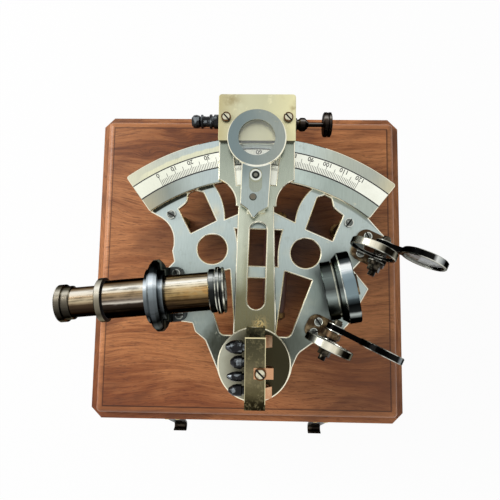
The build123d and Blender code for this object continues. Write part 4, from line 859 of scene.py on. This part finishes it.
class SEXTANT_OT_telescope(bpy.types.Operator):
    """Bronze the telescope and knurl its rings"""

    bl_idname = "sextant.telescope"
    bl_label = "Telescope"
    bl_options = {"REGISTER", "UNDO"}

    def execute(self, context):
        # Stops of painted highlights and dark reflections round the telescope's tubes and rings, from one
        # side over the top to the other.
        back = [(0.0, (226, 214, 178)), (0.06, (146, 126, 98)), (0.10, (24, 19, 15)), (0.18, (36, 28, 22)),
                (0.24, (120, 100, 78)), (0.29, (206, 194, 170)), (0.32, (255, 253, 244)),
                (0.37, (236, 228, 208)), (0.41, (170, 146, 112)), (0.48, (144, 124, 98)),
                (0.54, (124, 114, 104)), (0.570, (206, 198, 184)), (0.60, (54, 46, 40)),
                (0.68, (20, 16, 13)), (0.86, (8, 7, 6)), (0.92, (38, 28, 16)), (0.96, (220, 184, 108)),
                (1.0, (110, 86, 50))]
        front = [(0.0, (184, 162, 122)), (0.06, (120, 100, 76)), (0.14, (44, 35, 27)),
                 (0.18, (150, 130, 102)), (0.22, (56, 44, 34)), (0.26, (206, 194, 168)),
                 (0.30, (255, 253, 244)), (0.36, (240, 230, 204)), (0.42, (200, 176, 132)),
                 (0.52, (158, 132, 88)), (0.58, (118, 96, 64)), (0.61, (38, 29, 20)), (0.65, (96, 76, 50)),
                 (0.70, (26, 20, 14)), (0.84, (12, 10, 8)), (0.92, (46, 35, 20)), (0.96, (206, 172, 104)),
                 (1.0, (100, 78, 48))]
        ring = [(0.0, (120, 112, 96)), (0.12, (60, 56, 48)), (0.26, (190, 184, 168)),
                (0.32, (244, 240, 226)), (0.38, (206, 200, 182)), (0.50, (132, 126, 110)),
                (0.72, (70, 66, 56)), (0.90, (150, 142, 122)), (1.0, (70, 65, 54))]
        drawn = [(0.0, (232, 226, 206)), (0.06, (160, 142, 116)), (0.13, (84, 70, 56)),
                 (0.22, (146, 128, 106)), (0.28, (244, 238, 224)), (0.34, (230, 220, 200)),
                 (0.40, (156, 134, 106)), (0.47, (200, 184, 152)), (0.53, (156, 138, 110)),
                 (0.56, (76, 62, 48)), (0.66, (44, 34, 27)), (0.82, (20, 16, 13)), (0.93, (26, 20, 14)),
                 (0.97, (206, 182, 130)), (1.0, (104, 86, 60))]
        paint(bronze_tube("Bronzed tube", back, front, ring), "telescope_tube")
        paint(bronze_tube("Draw tube bronze", drawn), "draw_tube")
        cup = turned_metal("Eyepiece metal", SIGHT_LINE, [
            (0.0, (34, 32, 29)), (0.12, (66, 62, 54)), (0.22, (96, 92, 80)), (0.30, (196, 190, 174)),
            (0.36, (110, 104, 92)), (0.52, (84, 79, 69)), (0.66, (44, 41, 36)), (0.82, (28, 26, 23)),
            (0.92, (120, 114, 100)), (1.0, (24, 23, 20))], 0.24)
        paint(cup, "eyepiece_cup")
        collar = turned_metal("Gunmetal", SIGHT_LINE, [
            (0.0, (82, 86, 84)), (0.07, (176, 178, 168)), (0.12, (40, 41, 40)), (0.20, (20, 21, 21)),
            (0.29, (34, 37, 38)), (0.34, (178, 188, 194)), (0.40, (228, 236, 240)), (0.45, (138, 148, 152)),
            (0.55, (92, 98, 100)), (0.68, (66, 70, 72)), (0.75, (24, 25, 25)), (0.84, (104, 108, 106)),
            (0.90, (22, 22, 21)), (0.96, (150, 152, 142)), (1.0, (74, 78, 78))], 0.24, 0.06)
        paint(collar, "telescope_stand")
        # Painted highlight lines on the objective ring's rims.
        rims = [(28.75, 0.35), (32.3, 0.45), (33.9, 0.3), (36.1, 0.7)]
        objective = turned_metal("Objective steel", SIGHT_LINE, [
            (0.0, (60, 62, 60)), (0.10, (20, 21, 20)), (0.22, (66, 68, 66)), (0.30, (214, 218, 214)),
            (0.38, (96, 100, 98)), (0.50, (40, 41, 40)), (0.75, (16, 16, 15)), (0.88, (50, 50, 46)),
            (1.0, (24, 24, 22))], 0.2, 0.05, rims, (216, 216, 200))
        paint(objective, "objective_ring")
        lens = Finish("Lens glass")
        lens = lens.surface((0.92, 0.95, 0.94), 0.02, Transmission_Weight=1.0, IOR=1.5)
        paint(lens, "objective_lens", "eye_lens")
        knurl("eyepiece_knurl", SIGHT_LINE, 10.0, -51.3, -48.5, 72, "eyepiece", cup)
        knurl("collar_knurl", SIGHT_LINE, 14.6, -3.4, -1.2, 96, "sextant", collar)
        return {"FINISHED"}


class SEXTANT_OT_horizon_mirror(bpy.types.Operator):
    """Finish the horizon mirror"""

    bl_idname = "sextant.horizon_mirror"
    bl_label = "Horizon mirror"
    bl_options = {"REGISTER", "UNDO"}

    def execute(self, context):
        paint(self.ring(), "horizon_ring")
        silver = Finish("Silvered glass")
        cloud = silver.noise(silver.place(), 90.0, 4.0)
        tone = silver.mix(cloud, tint(150, 158, 150), tint(196, 202, 194))
        paint(silver.surface(tone, 0.03, 1.0), "horizon_mirror", "index_mirror")
        return {"FINISHED"}

    def ring(self):
        """Blued steel ring with a painted highlight sweeping over it and painted reflections round it, and a
        dark drum behind the groove.
        """
        finish = Finish("Mirror ring steel")
        band, _, ahead, cloud, streak = round_tone(finish, HORIZON, [
            (0.0, (24, 24, 22)), (0.10, (12, 12, 12)), (0.20, (26, 28, 28)), (0.25, (170, 176, 172)),
            (0.28, (34, 36, 36)), (0.36, (14, 15, 15)), (0.40, (60, 68, 70)), (0.44, (118, 134, 138)),
            (0.56, (112, 128, 134)), (0.62, (140, 156, 162)), (0.66, (236, 242, 243)),
            (0.71, (240, 243, 242)), (0.74, (70, 76, 78)), (0.79, (14, 15, 15)), (0.90, (50, 52, 50)),
            (0.96, (16, 16, 16)), (1.0, (12, 12, 12))], 0.05)
        drum = round_tone(finish, HORIZON, [
            (0.0, (22, 22, 20)), (0.22, (40, 40, 36)), (0.36, (70, 76, 72)), (0.44, (134, 144, 140)),
            (0.52, (66, 70, 68)), (0.66, (104, 114, 110)), (0.74, (60, 64, 62)), (0.86, (34, 36, 34)),
            (1.0, (28, 28, 26))], 0.06)[0]
        colour = finish.mix(ahead > 3.0, band, drum)
        groove = 1 - abs(ahead - 6.6).between(0.2, 0.5)
        colour = finish.mix(groove * cloud.between(0.35, 0.6) * 0.7, colour, tint(196, 196, 176))
        dark = 1 - abs(ahead - 5.6).between(0.3, 0.6)
        colour = finish.mix(dark * 0.9, colour, tint(12, 12, 11))
        # Painted highlight along the edge between the ring and the drum.
        rim = 1 - abs(ahead - 3.1).between(0.15, 0.4)
        colour = finish.mix(rim * cloud.between(0.4, 0.6), colour, tint(226, 230, 222))
        colour = finish.mix(streak.between(0.58, 0.72) * 0.3, colour, tint(30, 32, 32))
        return finish.surface(colour, 0.16 + cloud * 0.12, 1.0, Specular_Tint=DULL)


class SEXTANT_OT_shades(bpy.types.Operator):
    """Finish the shade glasses, their rings and their bolts"""

    bl_idname = "sextant.shades"
    bl_label = "Shades"
    bl_options = {"REGISTER", "UNDO"}

    def execute(self, context):
        # Stops of painted highlights and dark reflections round each shade ring, from one end to the other.
        pale = [(0.0, (20, 19, 17)), (0.12, (150, 147, 132)), (0.18, (26, 24, 20)), (0.30, (18, 16, 13)),
                (0.36, (104, 100, 86)), (0.41, (206, 200, 178)), (0.49, (232, 226, 206)),
                (0.56, (190, 187, 170)), (0.64, (116, 116, 106)), (0.74, (80, 80, 74)),
                (0.86, (34, 34, 31)), (1.0, (16, 15, 14))]
        black = [(0.0, (186, 186, 176)), (0.08, (96, 96, 92)), (0.14, (14, 14, 13)), (0.28, (10, 10, 10)),
                 (0.33, (206, 208, 204)), (0.37, (16, 16, 16)), (0.46, (12, 12, 12)),
                 (0.50, (170, 174, 172)), (0.54, (20, 20, 20)), (0.64, (13, 13, 13)),
                 (0.70, (132, 136, 136)), (0.78, (198, 200, 196)), (0.84, (30, 30, 29)),
                 (1.0, (12, 12, 12))]
        silver = [(0.0, (200, 200, 190)), (0.06, (30, 30, 29)), (0.12, (186, 188, 184)),
                  (0.20, (240, 242, 238)), (0.27, (50, 50, 49)), (0.33, (220, 222, 216)),
                  (0.39, (150, 152, 148)), (0.43, (18, 18, 18)), (0.49, (170, 174, 172)),
                  (0.54, (16, 16, 16)), (0.66, (13, 13, 13)), (0.72, (150, 156, 158)), (0.78, (30, 30, 29)),
                  (1.0, (12, 12, 12))]
        for shade, stops, reach, angle in (("horizon_shade_upright", pale, 22.5, 112.0),
                                           ("horizon_shade_folded", black, 22.5, 29.0),
                                           ("index_shade_upright", pale, 24.9, 100.2),
                                           ("index_shade_folded", silver, 26.4, 8.0)):
            self.ring(shade, stops, shade_middle(shade, reach, angle))
        paint(self.lacquer(), "mirror_adjusters", "clamp_screw")
        for state, tone in (("upright", (0.02, 0.02, 0.019)), ("folded", (0.22, 0.23, 0.23))):
            glass = Finish(f"{state.capitalize()} shade glass")
            glass = glass.surface(tone, 0.03, Transmission_Weight=1.0, IOR=1.12)
            paint(glass, f"horizon_glass_{state}", f"index_glass_{state}")
        paint(dark_metal("Bolt metal", tint(20, 18, 16), tint(92, 86, 74), 0.26), "shade_pins")
        return {"FINISHED"}

    def lacquer(self):
        """Black lacquer with a painted glint where it faces up."""
        finish = Finish("Black lacquer")
        cloud = finish.noise(finish.place(), 240.0, 4.0)
        up = finish.split(finish.node("ShaderNodeTexCoord", output="Normal"))[2]
        glint = cloud.between(0.50, 0.58) * up.between(0.70, 0.95) * (1 - up.between(0.97, 1.0) * 0.6)
        colour = finish.mix(glint * 0.6, (0.010, 0.010, 0.011), tint(150, 158, 162))
        return finish.surface(colour, 0.14 + cloud * 0.2, 0.75)

    def ring(self, node, stops, place):
        """One shade ring, with painted highlights and dark reflections by turns round its edge, and painted
        highlight lines near both faces.
        """
        title = node.replace("_", " ").capitalize()
        lines = ((1.75, 0.3), (-1.75, 0.3))
        paint(turned_metal(title, place, stops, 0.18, 0.05, lines, (206, 206, 194)), node)


class SEXTANT_OT_index_arm(bpy.types.Operator):
    """Finish the index arm, its block, its mirror and its screws"""

    bl_idname = "sextant.index_arm"
    bl_label = "Index arm"
    bl_options = {"REGISTER", "UNDO"}

    def execute(self, context):
        metal = context.scene.sextant_metal
        edge = tuple(metal.edge)
        paint(self.arm_plate(metal), "index_arm")
        paint(self.cap(edge), "vernier_block")
        disc = self.shaded_disc(edge)
        paint(disc, "index_disc", "pivot_bolt")
        paint(self.bracket(edge), "index_mirror_bracket")
        # Painted highlight lines along the arm's top edges.
        edge_highlight = Finish("Worn arm edge").surface(tint(250, 249, 230), 0.4, 0.0)
        edge_line("arm_edge_lines", "index_arm", ARM_TOP, 0.3 * MM, "index_arm", edge_highlight)
        paint(dark_metal("Copper strip", tint(196, 148, 112), tint(228, 190, 152), 0.24), "mirror_clips")
        heads = [(-12.7, 82.9, 162.7, 2.85), (23.7, 82.9, 162.7, 2.85), (8.9, -58.6, 188.7, 3.0)]
        paint(screw_metal("Slotted brass", heads, tint(208, 204, 178), tint(96, 66, 40)), "arm_screws")
        right = on_joint("tangent_screw_spin")
        ribs = dark_metal("Knurled bronze", tint(66, 54, 46), tint(146, 128, 112), 0.36)
        # Painted highlights and dark reflections round the tangent screw.
        paint(turned_metal("Tangent screw", right, [
            (0.0, (58, 50, 44)), (0.16, (20, 18, 17)), (0.34, (62, 56, 52)), (0.42, (150, 146, 140)),
            (0.48, (70, 62, 56)), (0.62, (26, 23, 21)), (0.84, (16, 15, 14)), (1.0, (66, 58, 50))], 0.24),
            "tangent_screw")
        knurl("tangent_knurl_inner", right, 7.3, 17.9, 19.4, 44, "tangent_screw", ribs)
        knurl("tangent_knurl_outer", right, 7.3, 20.4, 21.6, 44, "tangent_screw", ribs)
        return {"FINISHED"}

    def cap(self, edge):
        """Cream-yellow brass, browned at its corners, with painted shade on its front face."""
        finish = Finish("Block brass")
        point = finish.place(ON_ARM)
        x, y, z = finish.split(point)
        cloud = finish.noise(point, 70.0, 4.0, 0.6)
        stain = finish.noise(point, 190.0, 4.0, 0.65)
        tone = finish.ramp((x * IN_MM + 22.7) * (1 / 45.4) + (cloud - 0.5) * 0.3, tints([
            (0.0, (192, 182, 138)), (0.25, (208, 206, 172)), (0.6, (204, 202, 166)),
            (0.95, (232, 226, 178))]))
        corner = finish.spot(x, y, (-16.0, 151.0), 6.0) + finish.spot(x, y, (19.0, 154.0), 4.0) \
            + finish.spot(x, y, (21.5, 147.0), 2.5)
        tone = finish.mix(corner * cloud.between(0.42, 0.62) * 0.8, tone, tint(150, 132, 88))
        tone = finish.mix(stain.between(0.58, 0.70) * 0.45, tone, tint(246, 240, 200))
        # Painted shade on the block's front face.
        front = (y * IN_MM < 127.75) * (z * IN_MM > 46.0)
        tone = finish.mix(front * 0.9, tone, tint(30, 27, 20))
        return finish.surface(tone, 0.26 + cloud * 0.18, 0.75)

    def arm_plate(self, metal):
        """Plate that is pale by the vernier and olive by the pivot."""
        finish = Finish("Arm plate")
        point = finish.place(ON_ARM)
        x, y, _ = finish.split(point)
        cloud = finish.noise(point, 46.0, 4.0, 0.6)
        brushed = brush(finish, point)
        height = y * (1 / 0.15) + (cloud - 0.5) * 0.16
        colour = finish.ramp(height, tints([
            (0.12, (104, 98, 70)), (0.24, (120, 116, 88)), (0.33, (146, 146, 118)), (0.42, (178, 181, 158)),
            (0.56, (190, 196, 178)), (0.74, (168, 176, 160)), (0.86, (150, 158, 144))]))
        aside, out = x * IN_MM, y * IN_MM
        right = aside.between(1.5, 4.5) * out.between(36.0, 48.0) * (1 - out.between(78.0, 90.0))
        colour = finish.mix(right * 0.12, colour, tint(150, 156, 140))
        left = (1 - aside.between(-9.0, -5.0)) * out.between(36.0, 50.0) * (1 - out.between(84.0, 98.0))
        colour = finish.mix(left * 0.35, colour, tint(228, 236, 214))
        grain = finish.noise(point, 900.0, 3.0)
        post = finish.from_spot(x, y, POST)
        # Painted shade on the arm under the magnifier's slot.
        painted_shade = (abs(aside - POST[0]) < 3.7) * (out > 95.0) * (out < 110.5)
        colour = finish.mix(painted_shade * 0.25, colour, tint(72, 72, 66))
        colour = finish.mix(1 - post.between(3.2, 3.4), colour, tint(226, 228, 218))
        colour = finish.mix(1 - post.between(2.1, 2.5), colour, tint(18, 18, 16))
        colour = finish.mix(1 - post.between(0.9, 1.3), colour, tint(120, 118, 108))
        foot = finish.spot(x, y, (3.0, 21.5), 3.2) * grain.between(0.42, 0.5)
        colour = finish.mix(foot, colour, tint(232, 206, 140))
        colour = finish.mix(foot * grain.between(0.54, 0.60), colour, tint(110, 72, 28))
        return plated(finish, colour, finish.noise(point, 120.0, 5.0, 0.7), brushed, tuple(metal.edge), 0.28)

    def shaded_disc(self, edge):
        """Disc with painted light, pale on its left and dark on its right, and a painted highlight round its
        rim.
        """
        finish = Finish("Disc plate")
        point = finish.place(ON_ARM)
        x, y, _ = finish.split(point)
        cloud = finish.noise(point, 90.0, 4.0, 0.6)
        side = x * 25 + (cloud - 0.5) * 0.3
        colour = finish.ramp(side + 0.5, tints([
            (0.05, (168, 168, 150)), (0.22, (146, 144, 126)), (0.38, (120, 116, 96)), (0.50, (92, 88, 66)),
            (0.60, (60, 57, 43)), (0.95, (56, 53, 40))]))
        radius = finish.polar(point)[0]
        # Painted highlight round the disc's rim and on its sloped edges.
        rim = (radius > 19.75) * (1 - (y * IN_MM).between(4.0, 14.0) * 0.5)
        colour = finish.mix(rim, colour, edge)
        edge_highlight = finish.slope().between(0.06, 0.2)
        colour = finish.mix(edge_highlight, colour, edge)
        return finish.surface(colour, 0.28 + cloud * 0.16, 1.0)

    def bracket(self, edge):
        """Dark brass with painted highlight lines along the top edges."""
        finish = Finish("Bracket brass")
        point = finish.place(ON_ARM)
        x, y, z = finish.split(point)
        cloud = finish.noise(point, 150.0, 4.0, 0.65)
        length = y * IN_MM + (cloud - 0.5) * 7
        colour = finish.ramp((length + 18) * (1 / 36), tints([
            (0.02, (28, 25, 17)), (0.12, (40, 36, 25)), (0.22, (84, 78, 56)), (0.48, (112, 104, 80)),
            (0.70, (80, 76, 58)), (0.95, (64, 62, 48))]))
        fine = finish.noise(point, 520.0, 4.0, 0.7)
        colour = finish.mix(fine.between(0.50, 0.66) * 0.4, colour, tint(140, 130, 96))
        # Painted highlight lines along the top edges.
        top = z > 72.0 * MM
        aside = x * IN_MM - 0.7
        right = (aside > 4.8) * (y > -15.0 * MM) * 0.75
        left = (aside < -4.85) * (y > -14.0 * MM) * 0.5
        head = y > 16.9 * MM
        colour = finish.mix((right + left + head).of("MINIMUM", 1.0) * top, colour, tint(226, 214, 170))
        return finish.surface(colour, 0.30 + cloud * 0.16, 1.0)


class SEXTANT_OT_magnifier(bpy.types.Operator):
    """Finish the magnifier"""

    bl_idname = "sextant.magnifier"
    bl_label = "Magnifier"
    bl_options = {"REGISTER", "UNDO"}

    def execute(self, context):
        paint(self.frame_plate(tuple(context.scene.sextant_metal.edge)), "magnifier_arm")
        lens = Finish("Magnifier glass")
        lens = lens.surface((0.9, 0.93, 0.92), 0.02, Alpha=0.1)
        paint(lens, "magnifier_lens")
        return {"FINISHED"}

    def frame_plate(self, edge):
        """Blue-grey plate, darker at the left of the ring, with a painted highlight on the rim at the lower
        right.
        """
        finish = Finish("Magnifier plate")
        point = finish.place(ON_ARM)
        x, y, _ = finish.split(point)
        cloud = finish.noise(point, 60.0, 4.0, 0.6)
        stain = finish.noise(point, 150.0, 5.0, 0.7)
        side = (x * IN_MM + (cloud - 0.5) * 14).between(-14.0, 14.0)
        tone = finish.mix(side, tint(118, 133, 135), tint(152, 159, 152))
        tone = finish.mix(1 - (y * IN_MM).between(96.0, 112.0), tone, tint(166, 178, 174))
        # Painted highlight on the ring's rim at the lower right.
        far = finish.from_spot(x, y, (0.0, MAGNIFIER_Y))
        lower_right = (x * IN_MM - (y * IN_MM - MAGNIFIER_Y)).between(4.0, 14.0)
        sheen = (far > MAGNIFIER_EDGE - 1.1) * (far < MAGNIFIER_EDGE) * lower_right
        tone = finish.mix(sheen, tone, tint(244, 243, 226))
        rivet = finish.from_spot(x, y, RIVET)
        tone = finish.mix(1 - rivet.between(1.4, 1.8), tone, tint(112, 104, 90))
        tone = finish.mix(1 - abs(rivet - 1.85).between(0.15, 0.35), tone, tint(48, 46, 40))
        return plated(finish, tone, stain, brush(finish, point), edge, 0.24 + cloud * 0.14)


class SEXTANT_OT_stage(bpy.types.Operator):
    """Make the floor, the lights, the sky and the camera"""

    bl_idname = "sextant.stage"
    bl_label = "Stage"
    bl_options = {"REGISTER", "UNDO"}

    def execute(self, context):
        scene = context.scene
        sizes = scene.sextant_stage
        scene.view_settings.view_transform = "Standard"
        self.floor()
        self.sky(scene, sizes.sky)
        self.lamp(scene, "Key", sizes.key, 0.7, (-1.1, 0.45, 0.85))
        self.lamp(scene, "Fill", sizes.fill, 1.2, (0.7, -0.6, 0.9))
        self.camera(scene)
        return {"FINISHED"}

    def floor(self):
        """A pale floor that the camera sees as white, with the box's shadow kept."""
        mesh = bpy.data.meshes.new("floor")
        half = 3.0
        corners = [(-half, -half, 0), (half, -half, 0), (half, half, 0), (-half, half, 0)]
        mesh.from_pydata(corners, [], [(0, 1, 2, 3)])
        piece = bpy.data.objects.new("floor", mesh)
        bpy.context.scene.collection.objects.link(piece)
        finish = Finish("Floor")
        pale = finish.node("ShaderNodeBsdfDiffuse", None, {"Color": (0.85, 0.85, 0.85, 1.0)})
        white = finish.node("ShaderNodeEmission", None, {"Color": (1.0, 1.0, 1.0, 1.0), "Strength": 1.0})
        path = finish.node("ShaderNodeLightPath").socket.node.outputs
        seen = Term(finish, path["Is Camera Ray"]) + Term(finish, path["Is Glossy Ray"])
        seen = (seen + Term(finish, path["Is Transmission Ray"])).of("MINIMUM", 1.0) * FLOOR_GLOW
        mixed = finish.node("ShaderNodeMixShader", None, {0: seen, 1: pale, 2: white})
        finish.node("ShaderNodeOutputMaterial", None, {"Surface": mixed})
        mesh.materials.append(finish.material)

    def sky(self, scene, strength):
        """Even light from all round, white where it is seen."""
        world = bpy.data.worlds.new("Sky")
        scene.world = world
        world.use_nodes = True
        world.node_tree.nodes.clear()
        tree = Tree(world.node_tree)
        path = tree.node("ShaderNodeLightPath").socket.node.outputs
        seen = Term(tree, path["Is Camera Ray"]) + Term(tree, path["Is Glossy Ray"])
        seen = (seen + Term(tree, path["Is Transmission Ray"])).of("MINIMUM", 1.0)
        level = seen * (1.0 - strength) + strength
        light = tree.node("ShaderNodeBackground", None, {"Color": (1.0, 1.0, 1.0, 1.0), "Strength": level})
        tree.node("ShaderNodeOutputWorld", None, {"Surface": light})

    def lamp(self, scene, name, power, size, spot):
        light = bpy.data.lights.new(name, "AREA")
        light.energy = power
        light.size = size
        lamp = bpy.data.objects.new(name, light)
        lamp.location = spot
        target = Vector((0, 0, LID_TOP)) - Vector(spot)
        lamp.rotation_euler = target.to_track_quat("-Z", "Y").to_euler()
        scene.collection.objects.link(lamp)

    def camera(self, scene):
        """The photograph's viewpoint, almost straight down on the lid."""
        lens = bpy.data.cameras.new("Camera")
        lens.sensor_width = 36.0
        lens.lens = FOCAL_SHARE * lens.sensor_width
        lens.clip_start = 0.01
        camera = bpy.data.objects.new("Camera", lens)
        look = Matrix()
        for angle, axis in EYE_TURNS:
            look = look @ Matrix.Rotation(math.radians(angle), 4, axis)
        spot = Vector(EYE) * MM + Vector((0, 0, LID_TOP))
        camera.matrix_world = Matrix.Translation(spot) @ look.transposed()
        scene.collection.objects.link(camera)
        scene.camera = camera


OPERATORS = (SEXTANT_OT_woodwork, SEXTANT_OT_fittings, SEXTANT_OT_frame, SEXTANT_OT_scale,
             SEXTANT_OT_telescope, SEXTANT_OT_horizon_mirror, SEXTANT_OT_shades, SEXTANT_OT_index_arm,
             SEXTANT_OT_magnifier, SEXTANT_OT_stage)
SETTINGS = {"sextant_wood": WoodSettings, "sextant_metal": MetalSettings, "sextant_scale": ScaleSettings,
            "sextant_stage": StageSettings}


class SEXTANT_PT_panel(bpy.types.Panel):
    """The steps that dress the box and its sextant"""

    bl_idname = "SEXTANT_PT_panel"
    bl_label = "Sextant box"
    bl_space_type = "VIEW_3D"
    bl_region_type = "UI"
    bl_category = "Sextant box"

    def draw(self, context):
        for name, kind in SETTINGS.items():
            box = self.layout.box()
            for field in kind.__annotations__:
                box.prop(getattr(context.scene, name), field)
        for operator in OPERATORS:
            self.layout.operator(operator.bl_idname)


def register():
    for kind in (*SETTINGS.values(), *OPERATORS, SEXTANT_PT_panel):
        bpy.utils.register_class(kind)
    for name, kind in SETTINGS.items():
        setattr(bpy.types.Scene, name, PointerProperty(type=kind))


def unregister():
    for name in SETTINGS:
        delattr(bpy.types.Scene, name)
    for kind in reversed((*SETTINGS.values(), *OPERATORS, SEXTANT_PT_panel)):
        bpy.utils.unregister_class(kind)


def main():
    register()
    for operator in OPERATORS:
        getattr(bpy.ops.sextant, operator.bl_idname.split(".")[1])()


if __name__ == "__main__":
    main()
